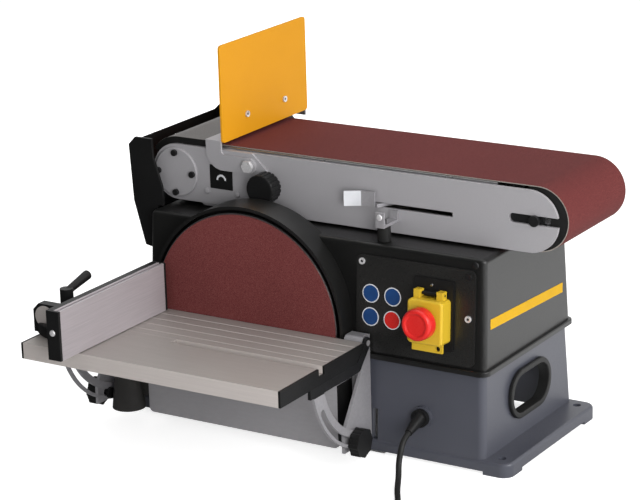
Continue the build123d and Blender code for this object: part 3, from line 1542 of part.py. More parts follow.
with BuildPart() as tension_lever:
    with BuildSketch(lever_plane):
        Circle(lever_hub_radius)
        with Locations((lever_bar / 2, 0)):
            Rectangle(lever_bar, lever_width)
        with Locations((-lever_crank / 2, 0)):
            SlotCenterToCenter(lever_crank, 2 * (crank_pin_radius + crank_rim))
        Circle(lever_pin_radius + running_clearance, mode=Mode.SUBTRACT)
    extrude(amount=lever_thickness)
    with BuildSketch(Plane.XY.offset(lever_z - lever_thickness / 2)):
        Polygon(*tab_outline)
    extrude(amount=lever_tab_height)
    rod_z(crank_x, crank_y, crank_pin_radius, lever_z, crank_pin_top)
tension_lever.part.label = "tension_lever"
export_step(tension_lever.part, "parts/tension_lever.step")

# Idler carriage: yoke, axle and spring
yoke_front_y = arm_front_in_y + part_gap
yoke_rear_y = arm_rear_in_y - part_gap
pull_rod_z = lever_z + lever_thickness / 2 + part_gap + pull_rod_radius
pull_eye_y = belt_mid_y + (lever_crank + lever_crank * math.sin(crank_turn)) / 2
pull_eye_hole = crank_pin_radius + crank_play
pull_eye_radius = pull_eye_hole + pull_eye_wall
yoke_bar_end_x = yoke_bar_x + yoke_bar_width
with BuildPart() as idler_yoke:
    for arm_y in (yoke_front_y, yoke_rear_y - yoke_arm):
        block(
            yoke_bar_x, idler_axis_x, arm_y, arm_y + yoke_arm,
            drum_axis_z - yoke_height / 2, drum_axis_z + yoke_height / 2,
        )
        rod_y(idler_axis_x, drum_axis_z, yoke_height / 2, arm_y, arm_y + yoke_arm)
        rod_y(
            idler_axis_x, drum_axis_z, axle_end_radius + fit, arm_y - overrun, arm_y + yoke_arm + overrun,
            mode=Mode.SUBTRACT
        )
    block(
        yoke_bar_x, yoke_bar_end_x, yoke_front_y, yoke_rear_y,
        drum_axis_z - yoke_height / 2, drum_axis_z + yoke_height / 2,
    )
    rod_x(pull_eye_y, pull_rod_z, pull_rod_radius, crank_x + pull_eye_hole + overrun, yoke_bar_x + overrun)
    rod_z(crank_x, pull_eye_y, pull_eye_radius, pull_rod_z - pull_rod_radius, pull_rod_z + pull_rod_radius)
    rod_z(
        crank_x, pull_eye_y, pull_eye_hole, pull_rod_z - pull_rod_radius - overrun,
        pull_rod_z + pull_rod_radius + overrun,
        mode=Mode.SUBTRACT,
    )
idler_yoke.part.label = "idler_yoke"
export_step(idler_yoke.part, "parts/idler_yoke.step")

axle_shoulder = axle_radius - running_clearance
with BuildPart() as idler_axle:
    rod_y(idler_axis_x, drum_axis_z, axle_shoulder, yoke_front_y + yoke_arm, yoke_rear_y - yoke_arm)
    rod_y(idler_axis_x, drum_axis_z, axle_end_radius, arm_front_y - part_gap, arm_rear_y + part_gap)
    rod_y(
        idler_axis_x, drum_axis_z, axle_nut_radius, arm_front_y - part_gap - axle_nut,
        arm_front_y - part_gap,
    )
    rod_y(idler_axis_x, drum_axis_z, axle_nut_radius, arm_rear_y + part_gap, arm_rear_y + part_gap + axle_nut)
idler_axle.part.label = "idler_axle"
export_step(idler_axle.part, "parts/idler_axle.step")

spring_x = yoke_bar_x - part_gap - spring_wire - spring_length
with BuildPart() as tension_spring:
    with BuildLine() as spring_path:
        Helix(
            spring_length / spring_turns, spring_length, spring_radius - spring_wire,
            center=(spring_x, pull_eye_y, pull_rod_z), direction=(1, 0, 0),
        )
    with BuildSketch(Plane(spring_path.line @ 0, z_dir=spring_path.line % 0)):
        Circle(spring_wire)
    sweep(is_frenet=True)
tension_spring.part.label = "tension_spring"
export_step(tension_spring.part, "parts/tension_spring.step")

idler_seat = drum_bearing_width + idler_bearing_inset + idler_seat_play
with BuildPart() as idler_drum:
    rod_y(idler_axis_x, drum_axis_z, drum_radius, belt_front_y, belt_rear_y)
    rod_y(
        idler_axis_x, drum_axis_z, axle_radius + idler_bore_play, belt_front_y - overrun,
        belt_rear_y + overrun,
        mode=Mode.SUBTRACT,
    )
    for seat_y0, seat_y1 in (
        (belt_front_y - overrun, belt_front_y + idler_seat), (belt_rear_y - idler_seat, belt_rear_y + overrun)
    ):
        rod_y(idler_axis_x, drum_axis_z, drum_bearing_radius + fit, seat_y0, seat_y1, mode=Mode.SUBTRACT)
idler_drum.part.label = "idler_drum"
export_step(idler_drum.part, "parts/idler_drum.step")

with BuildPart() as idler_bearings:
    for bearing_y in (
        belt_front_y + idler_bearing_inset, belt_rear_y - idler_bearing_inset - drum_bearing_width
    ):
        rod_y(idler_axis_x, drum_axis_z, drum_bearing_radius, bearing_y, bearing_y + drum_bearing_width)
        rod_y(
            idler_axis_x, drum_axis_z, axle_radius, bearing_y - overrun,
            bearing_y + drum_bearing_width + overrun,
            mode=Mode.SUBTRACT,
        )
idler_bearings.part.label = "idler_bearings"
export_step(idler_bearings.part, "parts/idler_bearings.step")

# Tracking knob
with BuildPart() as tracking_knob:
    tracking_rear_y = casting_front_y - knob_gap
    rod_y(tracking_x, tracking_z, tracking_radius, tracking_rear_y - tracking_depth, tracking_rear_y)
    fillet(tracking_knob.faces().sort_by(Axis.Y)[0].edges(), radius=tracking_edge)
    flute_circle = tracking_radius + tracking_flute_offset
    for flute in range(tracking_flutes):
        turn = 2 * math.pi * flute / tracking_flutes
        rod_y(
            tracking_x + flute_circle * math.cos(turn), tracking_z + flute_circle * math.sin(turn),
            tracking_flute_radius, tracking_rear_y - tracking_depth - overrun, tracking_rear_y + overrun,
            mode=Mode.SUBTRACT,
        )
    rod_y(
        tracking_x, tracking_z, tracking_stem_radius, tracking_rear_y - overrun,
        arm_front_in_y + tracking_stem_tail,
    )
tracking_knob.part.label = "tracking_knob"
export_step(tracking_knob.part, "parts/tracking_knob.step")

# Table: one long profile with end caps
table_bevel_y = table_rear_y - table_thickness
table_outline = [
    (table_front_y, table_bottom_z),
    (table_bevel_y, table_bottom_z),
    (table_rear_y, table_top_z),
    (table_front_y, table_top_z),
]
table_x0 = table_left_x + table_cap
table_x1 = table_right_x - table_cap
slot_front_y = mitre_slot_y - mitre_slot_width / 2
slot_rear_y = mitre_slot_y + mitre_slot_width / 2
table_floor_z = table_top_z - table_skin
with BuildPart() as table_top:
    prism_x(table_outline, table_x0, table_x1)
    block(
        table_x0 - overrun, table_x1 + overrun, slot_front_y, slot_rear_y,
        table_top_z - mitre_slot_depth, table_top_z + overrun, mode=Mode.SUBTRACT,
    )
    for groove in range(table_groove_count):
        groove_y = slot_rear_y + table_groove_start + table_groove_spacing * groove
        block(
            table_x0 - overrun, table_x1 + overrun, groove_y - table_groove / 2, groove_y + table_groove / 2,
            table_top_z - table_groove_depth, table_top_z + overrun, mode=Mode.SUBTRACT,
        )
    block(
        table_x0 - overrun, table_x1 + overrun, table_front_y + table_rib, slot_front_y - table_rib,
        table_bottom_z - overrun, table_floor_z, mode=Mode.SUBTRACT,
    )
    block(
        table_x0 - overrun, table_x1 + overrun, slot_rear_y + table_rib, table_bevel_y - table_rib,
        table_bottom_z - overrun, table_floor_z, mode=Mode.SUBTRACT,
    )
table_top.part.label = "table_top"
export_step(table_top.part, "parts/table_top.step")

with BuildPart() as table_end_caps:
    prism_x(table_outline, table_left_x, table_x0)
    prism_x(table_outline, table_x1, table_right_x)
    block(
        table_left_x - overrun, table_right_x + overrun, slot_front_y, slot_rear_y,
        table_top_z - mitre_slot_depth, table_top_z + overrun, mode=Mode.SUBTRACT,
    )
table_end_caps.part.label = "table_end_caps"
export_step(table_end_caps.part, "parts/table_end_caps.step")

# Quadrants under the table
slot_start = lock_angle - lock_spare
slot_end = lock_angle + tilt_range + lock_spare
quadrant_start = slot_start - quadrant_tail
quadrant_end = slot_end + quadrant_nose
slot_half = lock_stud_radius + lock_slot_play


def quadrant_place(radius, forward):
    turn = math.radians(forward)
    return (hinge_y - radius * math.sin(turn), hinge_z - radius * math.cos(turn))


def quadrant_sketch(plane_x):
    with BuildSketch(Plane.YZ.offset(plane_x)) as outline:
        with BuildLine():
            outer = CenterArc(
                (hinge_y, hinge_z), quadrant_outer, 270 - quadrant_end, quadrant_end - quadrant_start,
            )
            inner = CenterArc(
                (hinge_y, hinge_z), quadrant_inner, 270 - quadrant_end, quadrant_end - quadrant_start,
            )
            Line(outer @ 0, inner @ 0)
            Line(outer @ 1, inner @ 1)
        make_face()
        bar_front_y = hinge_y - lock_radius - quadrant_bar
        bar_rear_y = table_bevel_y + quadrant_bar_overlap
        with Locations(((bar_front_y + bar_rear_y) / 2, table_bottom_z - quadrant_bar / 2)):
            Rectangle(bar_rear_y - bar_front_y, quadrant_bar)
        arm_end = (table_bevel_y + hinge_arm_run, table_bottom_z - quadrant_bar / 2 - hinge_arm_drop)
        arm_turn = math.atan2(arm_end[1] - hinge_z, arm_end[0] - hinge_y)
        side = (-hinge_arm_half * math.sin(arm_turn), hinge_arm_half * math.cos(arm_turn))
        Polygon(
            (hinge_y + side[0], hinge_z + side[1]), (arm_end[0] + side[0], arm_end[1] + side[1]),
            (arm_end[0] - side[0], arm_end[1] - side[1]), (hinge_y - side[0], hinge_z - side[1]),
        )
        with Locations((hinge_y, hinge_z)):
            Circle(hinge_eye_radius)
        with Locations((hinge_y, hinge_z)):
            Circle(hinge_stud_radius + running_clearance, mode=Mode.SUBTRACT)
        with BuildLine():
            slot_outer = CenterArc(
                (hinge_y, hinge_z), lock_radius + slot_half, 270 - slot_end, slot_end - slot_start,
            )
            slot_inner = CenterArc(
                (hinge_y, hinge_z), lock_radius - slot_half, 270 - slot_end, slot_end - slot_start,
            )
            Line(slot_outer @ 0, slot_inner @ 0)
            Line(slot_outer @ 1, slot_inner @ 1)
        make_face(mode=Mode.SUBTRACT)
        with Locations(quadrant_place(lock_radius, slot_start), quadrant_place(lock_radius, slot_end)):
            Circle(slot_half, mode=Mode.SUBTRACT)
    return outline.sketch


with BuildPart() as table_trunnions:
    for plate_x in (left_quadrant_x, right_quadrant_x):
        extrude(quadrant_sketch(plate_x), amount=trunnion_plate)
table_trunnions.part.label = "table_trunnions"
export_step(table_trunnions.part, "parts/table_trunnions.step")

# Lock knobs with their studs


def lobed_knob(x0, x1):
    rod_x(lock_y, lock_z, knob_radius - knob_flute, x0, x1)
    lobe_circle = knob_radius - knob_lobe_radius
    for lobe in range(knob_lobes):
        turn = 2 * math.pi * lobe / knob_lobes
        rod_x(
            lock_y + lobe_circle * math.cos(turn), lock_z + lobe_circle * math.sin(turn), knob_lobe_radius,
            x0, x1
        )


with BuildPart() as table_knob_right:
    knob_x = right_quadrant_x + trunnion_plate + knob_gap
    lobed_knob(knob_x, knob_x + knob_depth)
    nut_x = right_bracket_x - part_gap - lock_nut
    rod_x(lock_y, lock_z, lock_stud_radius, nut_x - lock_stud_end, knob_x + overrun)
    rod_x(lock_y, lock_z, lock_nut_radius, nut_x, nut_x + lock_nut)
table_knob_right.part.label = "table_knob_right"
export_step(table_knob_right.part, "parts/table_knob_right.step")

with BuildPart() as table_knob_left:
    knob_x = left_bracket_x - knob_gap
    nut_x = left_quadrant_x + trunnion_plate + part_gap
    lobed_knob(knob_x - knob_depth, knob_x)
    rod_x(lock_y, lock_z, lock_stud_radius, knob_x - overrun, nut_x + lock_nut + lock_stud_end)
    rod_x(lock_y, lock_z, lock_nut_radius, nut_x, nut_x + lock_nut)
table_knob_left.part.label = "table_knob_left"
export_step(table_knob_left.part, "parts/table_knob_left.step")

# Mitre gauge
bar_half = mitre_slot_width / 2 - mitre_bar_play
bar_bottom_z = table_top_z - mitre_slot_depth + mitre_bar_play
bar_top_z = table_top_z - mitre_bar_play
head_bottom_z = table_top_z + part_gap
head_disc_z = head_bottom_z + mitre_base_height
head_top_z = head_bottom_z + mitre_wing_height
mitre_pin_top_z = head_bottom_z + mitre_pin_height
with BuildPart() as mitre_bar:
    block(
        mitre_bar_left_x, mitre_bar_right_x, mitre_slot_y - bar_half, mitre_slot_y + bar_half, bar_bottom_z,
        bar_top_z,
    )
    rod_z(mitre_pivot_x, mitre_slot_y, mitre_pin_radius, bar_top_z - overrun, mitre_pin_top_z)
mitre_bar.part.label = "mitre_bar"
export_step(mitre_bar.part, "parts/mitre_bar.step")

fence_in_front_y = fence_front_y + fence_cap
fence_in_rear_y = fence_rear_y - fence_cap
mitre_stud_floor_z = head_top_z - mitre_stud_depth
wing_left_x = table_left_x - mitre_wing_reach
wing_front_y = mitre_lever_y - mitre_wing_thickness / 2
wing_rear_y = mitre_lever_y + mitre_wing_thickness / 2
wing_outline = [
    (backing_x + overrun, head_bottom_z + fence_lift),
    (wing_left_x, head_bottom_z + fence_lift),
    (wing_left_x, head_top_z - mitre_wing_chamfer),
    (wing_left_x + mitre_wing_chamfer, head_top_z),
    (backing_x + overrun, head_top_z),
]
with BuildPart() as mitre_head:
    rod_z(mitre_head_x, mitre_slot_y, mitre_radius, head_bottom_z, head_disc_z)
    fillet(mitre_head.faces().sort_by(Axis.Z)[-1].edges(), radius=mitre_edge)
    block(
        backing_x, mitre_head_x + 2 * mitre_radius, mitre_slot_y - 2 * mitre_radius,
        mitre_slot_y + 2 * mitre_radius,
        head_bottom_z - overrun, head_disc_z + overrun, mode=Mode.SUBTRACT,
    )
    prism_y(wing_outline, wing_front_y, wing_rear_y)
    block(backing_x, fence_back_x, fence_in_front_y, fence_in_rear_y, fence_bottom_z, fence_top_z)
    rod_z(
        mitre_pivot_x, mitre_slot_y, mitre_pin_radius + running_clearance, head_bottom_z - overrun,
        mitre_pin_top_z + overrun,
        mode=Mode.SUBTRACT,
    )
    rod_z(
        mitre_lever_x, mitre_lever_y, mitre_stud_radius + running_clearance, mitre_stud_floor_z,
        head_top_z + overrun,
        mode=Mode.SUBTRACT,
    )
mitre_head.part.label = "mitre_head"
export_step(mitre_head.part, "parts/mitre_head.step")

fence_middle_x = (fence_face_x + fence_back_x) / 2
with BuildPart() as fence_rail:
    block(fence_back_x, fence_face_x, fence_in_front_y, fence_in_rear_y, fence_bottom_z, fence_top_z)
    block(
        fence_middle_x - fence_groove / 2, fence_middle_x + fence_groove / 2,
        fence_in_front_y - overrun, fence_in_rear_y + overrun, fence_top_z - fence_groove_depth,
        fence_top_z + overrun, mode=Mode.SUBTRACT,
    )
fence_rail.part.label = "fence_rail"
export_step(fence_rail.part, "parts/fence_rail.step")

with BuildPart() as fence_end_caps:
    for cap_y0, cap_y1 in ((fence_front_y, fence_in_front_y), (fence_in_rear_y, fence_rear_y)):
        block(backing_x, fence_face_x, cap_y0, cap_y1, fence_bottom_z, fence_top_z)
fence_end_caps.part.label = "fence_end_caps"
export_step(fence_end_caps.part, "parts/fence_end_caps.step")

hub_bottom_z = head_top_z + part_gap
hub_top_z = hub_bottom_z + mitre_hub_height
handle_start = Vector(mitre_lever_x, mitre_lever_y, hub_top_z - mitre_handle_radius)
handle_way = Vector(0, mitre_handle_length, mitre_handle_rise).normalized()
with BuildPart() as mitre_lever:
    rod_z(mitre_lever_x, mitre_lever_y, mitre_hub_radius, hub_bottom_z, hub_top_z)
    rod_z(
        mitre_lever_x, mitre_lever_y, mitre_stud_radius, mitre_stud_floor_z + overrun,
        hub_bottom_z + overrun,
    )
    with BuildSketch(Plane(handle_start, z_dir=handle_way)) as handle_root:
        Circle(mitre_handle_radius)
    with BuildSketch(Plane(handle_start + handle_way * mitre_handle_length, z_dir=handle_way)) as handle_tip:
        Circle(mitre_handle_radius + mitre_handle_swell)
    loft([handle_root.sketch.face(), handle_tip.sketch.face()])
    fillet(mitre_lever.faces().sort_by(Axis.Y)[-1].edges(), radius=mitre_handle_edge)
mitre_lever.part.label = "mitre_lever"
export_step(mitre_lever.part, "parts/mitre_lever.step")

# Switch flap with the stop mushroom, and the two buttons under it
mushroom_out = flap_front + mushroom_travel + mushroom_gap
stem_in = switch_out + button_height + mushroom_stem_gap
flap_height = flap_top + flap_bottom
flap_v = switch_v + (flap_top - flap_bottom) / 2
lug_low_v = switch_v + flap_top - flap_wall
lug_high_v = switch_v + flap_lug_rise
tab_v = switch_v - flap_bottom - flap_tab_height / 2
with BuildPart() as switch_flap:
    face_block(switch_x, flap_v, flap_width, flap_height, flap_back, flap_front, flap_corner)
    fillet(switch_flap.faces().sort_by(Axis.Y)[0].edges(), radius=flap_edge)
    face_block(
        switch_x, flap_v, flap_width - 2 * flap_wall, flap_height - 2 * flap_wall,
        flap_back - overrun, flap_front - flap_wall, flap_corner - flap_wall, mode=Mode.SUBTRACT,
    )
    for side in (-1, 1):
        face_block(
            switch_x + side * flap_lug_u, (lug_low_v + lug_high_v) / 2, flap_lug_width,
            lug_high_v - lug_low_v,
            flap_back + flap_lug_inner, flap_back + flap_lug_outer,
        )
    face_block(
        switch_x, tab_v + overrun / 2, flap_tab_width, flap_tab_height + overrun,
        flap_back + flap_tab_out, flap_back + flap_tab_out + flap_tab_thickness,
    )
    face_rod(switch_x + flap_tab_hole_u, tab_v, flap_tab_hole, flap_back, flap_front, mode=Mode.SUBTRACT)
    face_rod(
        switch_x, stop_v, mushroom_stem_radius + running_clearance, flap_back, flap_front + overrun,
        mode=Mode.SUBTRACT
    )
    with BuildSketch(hinge_plane):
        Circle(flap_pin_radius + running_clearance)
    extrude(amount=flap_width, both=True, mode=Mode.SUBTRACT)
switch_flap.part.label = "switch_flap"
export_step(switch_flap.part, "parts/switch_flap.step")

with BuildPart() as stop_mushroom:
    face_rod(switch_x, stop_v, mushroom_stem_radius, stem_in, mushroom_out + overrun)
    face_rod(switch_x, stop_v, mushroom_radius, mushroom_out, mushroom_out + mushroom_height)
    fillet(stop_mushroom.faces().sort_by(Axis.Y)[0].edges(), radius=mushroom_round)
stop_mushroom.part.label = "stop_mushroom"
export_step(stop_mushroom.part, "parts/stop_mushroom.step")

with BuildPart() as start_button:
    face_rod(
        switch_x, start_v, button_radius, switch_out - button_depth,
        switch_out + button_height - start_button_drop,
    )
    fillet(start_button.faces().sort_by(Axis.Y)[0].edges(), radius=button_edge)
start_button.part.label = "start_button"
export_step(start_button.part, "parts/start_button.step")

with BuildPart() as stop_button:
    face_rod(switch_x, stop_v, button_radius, switch_out - button_depth, switch_out + button_height)
    fillet(stop_button.faces().sort_by(Axis.Y)[0].edges(), radius=button_edge)
stop_button.part.label = "stop_button"
export_step(stop_button.part, "parts/stop_button.step")

# Mains lead: gland, cord, coil and plug
droop = math.radians(gland_droop)
relief_way = Vector(0, -math.cos(droop), -math.sin(droop))
relief_start = Vector(gland_x, gland_seat_y - gland_nut, gland_z)
relief_tip = relief_start + relief_way * relief_length
with BuildPart() as cord_gland:
    rod_y(gland_x, gland_z, gland_radius, gland_seat_y - gland_nut, gland_seat_y)
    rod_y(
        gland_x, gland_z, cord_radius + gland_neck_wall, gland_seat_y - overrun,
        gland_seat_y + gland_neck_length,
    )
    with BuildSketch(Plane(relief_start - relief_way * relief_root_depth, z_dir=relief_way)) as relief_root:
        Circle(relief_root_radius)
    with BuildSketch(Plane(relief_tip, z_dir=relief_way)) as relief_end:
        Circle(relief_tip_radius)
    loft([relief_root.sketch.face(), relief_end.sketch.face()])
cord_gland.part.label = "cord_gland"
export_step(cord_gland.part, "parts/cord_gland.step")

coil_outer_radius = coil_inner_radius + coil_pitch * coil_turns
cord_entry_x = coil_x - coil_outer_radius
cord_runs = [(12.0, 20.0, 0.0), (14.0, 42.0, 2.0), (15.0, 61.0, 1.0), (14.0, 46.0, 5.5), (14.0, 25.0, 6.0)]
cord_points = [relief_tip]
for run, dip, aside in cord_runs:
    dip_turn = math.radians(dip)
    cord_points.append(cord_points[-1] + Vector(aside, -run * math.cos(dip_turn), -run * math.sin(dip_turn)))
landing = cord_points[-1]
cord_points.append(Vector(landing.X + 9.0, landing.Y - 17.0, cord_radius + part_gap))
cord_points.append(Vector(cord_entry_x - 16.6, landing.Y - 45.0, cord_radius))
cord_points.append(Vector(cord_entry_x - 5.6, coil_y + 53.0, cord_radius))
cord_points.append(Vector(cord_entry_x, coil_y + 26.0, cord_radius))
cord_points.append(Vector(cord_entry_x, coil_y, cord_radius))
cord_radii = []
for place in range(1, len(cord_points) - 1):
    before = cord_points[place] - cord_points[place - 1]
    after = cord_points[place + 1] - cord_points[place]
    bend = math.radians(before.get_angle(after))
    cord_radii.append(0.45 * min(before.length, after.length) / math.tan(bend / 2))
print("cord radii", [round(radius, 1) for radius in cord_radii])
with BuildPart() as power_cord:
    with BuildLine() as cord_path:
        FilletPolyline(*cord_points, radius=cord_radii)
    with BuildSketch(Plane(relief_tip, z_dir=relief_way)):
        Circle(cord_radius)
    sweep()
cord_section = math.pi * cord_radius**2
print("cord volume", round(power_cord.part.volume), "expected", round(cord_section * cord_path.wire().length))
power_cord.part.label = "power_cord"
export_step(power_cord.part, "parts/power_cord.step")


def coil_place(turn):
    angle = math.pi + 2 * math.pi * turn
    radius = coil_inner_radius + coil_pitch * abs(coil_turns - turn)
    climb = min(max(2 * (turn - coil_turns) + 0.5, 0.0), 1.0)
    rise = climb * climb * (3 - 2 * climb)
    return Vector(
        coil_x + radius * math.cos(angle), coil_y + radius * math.sin(angle), cord_radius + coil_pitch * rise
    )


def coil_heading(turn):
    step = 0.01
    return (coil_place(turn + step) - coil_place(turn - step)).normalized()


def biarc_middle(start, start_way, end, end_way):
    chord = end - start
    both = start_way + end_way
    bend = 2 * (1 - start_way.dot(end_way))
    along = chord.dot(both)
    if bend < 1e-6:
        reach = chord.dot(chord) / (2 * along)
    else:
        reach = (math.sqrt(along**2 + bend * chord.dot(chord)) - along) / bend
    return (start + start_way * reach + end - end_way * reach) * 0.5, reach


coil_last_turn = 2 * coil_turns - 0.75
coil_places = []
coil_ways = []
for quarter in range(int(4 * coil_last_turn) + 1):
    coil_places.append(coil_place(quarter / 4))
    coil_ways.append(coil_heading(quarter / 4))
coil_ways[0] = Vector(0, -1, 0)
coil_ways[-1] = Vector(1, 0, 0)
tail_end = Vector(coil_places[-1].X + tail_length, coil_places[-1].Y - tail_side, plug_radius)
coil_places.append(tail_end)
coil_ways.append(Vector(1, 0, 0))
with BuildPart() as cord_coil:
    with BuildLine() as coil_path:
        for place in range(len(coil_places) - 1):
            start = coil_places[place]
            end = coil_places[place + 1]
            middle, reach = biarc_middle(start, coil_ways[place], end, coil_ways[place + 1])
            middle_way = (end - coil_ways[place + 1] * reach - start - coil_ways[place] * reach).normalized()
            TangentArc(start, middle, tangent=coil_ways[place])
            TangentArc(middle, end, tangent=middle_way)
    with BuildSketch(Plane(coil_places[0], z_dir=coil_ways[0])):
        Circle(cord_radius)
    sweep()
coil_wire = coil_path.wire()
coil_samples = 1200
coil_dots = [coil_wire.position_at(step / coil_samples) for step in range(coil_samples + 1)]
apart = int(coil_samples * 60.0 / coil_wire.length)
least_gap = 1000.0
for first in range(0, coil_samples + 1, 3):
    for second in range(first + apart, coil_samples + 1, 2):
        distance = (coil_dots[first] - coil_dots[second]).length - 2 * cord_radius
        least_gap = min(least_gap, distance)
print("coil gap", round(least_gap, 2), "length", round(coil_wire.length))
print("coil volume", round(cord_coil.part.volume), "expected", round(cord_section * coil_wire.length))
cord_coil.part.label = "cord_coil"
export_step(cord_coil.part, "parts/cord_coil.step")

plug_end_x = tail_end.X + plug_length
with BuildPart() as mains_plug:
    with BuildSketch(Plane(tail_end, z_dir=(1, 0, 0))) as plug_tail:
        Circle(cord_radius + plug_tail_wall)
    with BuildSketch(Plane(tail_end + Vector(plug_waist_run, 0, 0), z_dir=(1, 0, 0))) as plug_waist:
        Circle(plug_radius - plug_shoulder)
    loft([plug_tail.sketch.face(), plug_waist.sketch.face()])
    rod_x(tail_end.Y, plug_radius, plug_radius, tail_end.X + plug_waist_run, plug_end_x)
    for side in (-1, 1):
        rod_x(
            tail_end.Y + side * plug_pin_spacing / 2, plug_radius, plug_pin_radius,
            plug_end_x - overrun, plug_end_x + plug_pin_length,
        )
mains_plug.part.label = "mains_plug"
export_step(mains_plug.part, "parts/mains_plug.step")
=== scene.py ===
import json
import math

import bpy
from mathutils import Matrix, Vector
from mathutils.bvhtree import BVHTree

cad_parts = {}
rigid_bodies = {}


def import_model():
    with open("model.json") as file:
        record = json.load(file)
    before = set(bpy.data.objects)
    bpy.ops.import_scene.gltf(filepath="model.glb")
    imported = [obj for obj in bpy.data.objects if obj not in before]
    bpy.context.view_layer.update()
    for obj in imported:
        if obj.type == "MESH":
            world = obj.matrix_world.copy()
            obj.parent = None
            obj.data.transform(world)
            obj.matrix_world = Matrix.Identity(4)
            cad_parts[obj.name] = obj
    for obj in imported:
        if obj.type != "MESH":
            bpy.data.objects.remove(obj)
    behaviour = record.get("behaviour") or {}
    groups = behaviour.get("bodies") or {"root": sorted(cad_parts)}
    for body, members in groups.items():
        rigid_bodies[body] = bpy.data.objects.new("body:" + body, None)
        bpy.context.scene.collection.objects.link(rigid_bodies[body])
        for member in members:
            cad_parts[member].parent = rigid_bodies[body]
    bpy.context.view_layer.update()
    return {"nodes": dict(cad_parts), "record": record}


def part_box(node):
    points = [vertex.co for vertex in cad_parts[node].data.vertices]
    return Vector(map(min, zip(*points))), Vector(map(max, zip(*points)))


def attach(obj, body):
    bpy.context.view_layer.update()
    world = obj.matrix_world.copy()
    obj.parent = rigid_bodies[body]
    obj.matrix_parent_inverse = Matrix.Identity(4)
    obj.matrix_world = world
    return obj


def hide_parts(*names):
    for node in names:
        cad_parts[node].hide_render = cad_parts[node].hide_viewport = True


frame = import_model()
bodyOfNode = {}
for bodyName, members in frame["record"]["behaviour"]["bodies"].items():
    for member in members:
        bodyOfNode[member] = bodyName
print("frame loaded:", len(frame["nodes"]), "nodes")

acrossAxis = Vector((1.0, 0.0, 0.0))  # to the right, seen from the front
backAxis = Vector((0.0, 1.0, 0.0))
upAxis = Vector((0.0, 0.0, 1.0))
wayOut = 0.5  # metres, clear of the whole machine
facing = 0.7  # a face looks along an axis when more than this of its normal does
squarely = 0.98  # and lies square to it above this
crease = {"angle": 35.0, "turnedAngle": 25.0, "segments": 2, "cornerSteps": 5, "weight": 90}
turnedSides = 32


# small helpers

def deselectAll():
    if bpy.context.mode != "OBJECT":
        bpy.ops.object.mode_set(mode="OBJECT")
    for thing in bpy.context.view_layer.objects:
        thing.select_set(False)


def choose(piece):
    deselectAll()
    piece.select_set(True)
    bpy.context.view_layer.objects.active = piece


def linked(name, data):
    thing = bpy.data.objects.new(name, data)
    bpy.context.scene.collection.objects.link(thing)
    return thing


def coat(piece, material):
    piece.data.materials.clear()
    piece.data.materials.append(material)


def settle(piece, name, material):
    choose(piece)
    bpy.ops.object.transform_apply(location=True, rotation=True, scale=True)
    piece.name = name
    piece.data.name = name
    coat(piece, material)
    return piece


def onto(piece, body):
    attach(piece, body)
    return piece


def editAll(piece):
    choose(piece)
    bpy.ops.object.mode_set(mode="EDIT")
    bpy.ops.mesh.select_all(action="SELECT")


def leaveEdit():
    bpy.ops.object.mode_set(mode="OBJECT")


def startPicking(piece, kind):
    choose(piece)
    bpy.ops.object.mode_set(mode="EDIT")
    bpy.ops.mesh.select_mode(type=kind)
    bpy.ops.mesh.select_all(action="DESELECT")
    leaveEdit()


def pickFaces(piece, isThere):
    startPicking(piece, "FACE")
    for face in piece.data.polygons:
        face.select = isThere(face.center, face.normal)
    bpy.ops.object.mode_set(mode="EDIT")


def pickEdges(piece, isThere):
    startPicking(piece, "EDGE")
    for edge in piece.data.edges:
        first, second = (piece.data.vertices[end].co for end in edge.vertices)
        edge.select = isThere(second - first)
    bpy.ops.object.mode_set(mode="EDIT")


def bevelEdges(piece, width, segments=crease["segments"], angle=crease["angle"]):
    choose(piece)
    edges = piece.modifiers.new("edges", "BEVEL")
    edges.width = width
    edges.segments = segments
    edges.limit_method = "ANGLE"
    edges.angle_limit = math.radians(angle)
    edges.use_clamp_overlap = True
    bpy.ops.object.modifier_apply(modifier=edges.name)
    bpy.ops.object.shade_smooth_by_angle(angle=math.radians(angle))
    shading = piece.modifiers.new("shading", "WEIGHTED_NORMAL")
    shading.keep_sharp = True
    shading.weight = crease["weight"]
    bpy.ops.object.modifier_apply(modifier=shading.name)


def middleOf(node):
    low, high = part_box(node)
    return (low + high) / 2


# first point of a node that a line through this place meets, coming from outside
def touch(node, place, direction):
    mesh = frame["nodes"][node].data
    corners = [corner.co for corner in mesh.vertices]
    faces = [face.vertices for face in mesh.polygons]
    start = Vector(place) - direction * wayOut
    hit, normal, _, _ = BVHTree.FromPolygons(corners, faces).ray_cast(start, direction)
    return hit, normal


def turned(look):
    profile = look["profile"]  # radius and height, from the seat outwards
    radius, height = profile[0]
    deselectAll()
    bpy.ops.mesh.primitive_cylinder_add(vertices=look.get("sides", turnedSides), radius=radius, depth=height,
                                        location=(0.0, 0.0, height / 2))
    piece = bpy.context.object
    bpy.ops.object.transform_apply(location=True)
    pickFaces(piece, lambda center, normal: normal.z > squarely)
    for nextRadius, nextHeight in profile[1:]:
        bpy.ops.mesh.extrude_region_move(TRANSFORM_OT_translate={"value": (0.0, 0.0, nextHeight - height)})
        bpy.ops.transform.resize(value=(nextRadius / radius, nextRadius / radius, 1.0))
        radius, height = nextRadius, nextHeight
    leaveEdit()
    bevelEdges(piece, look["edge"], angle=crease["turnedAngle"])
    return piece


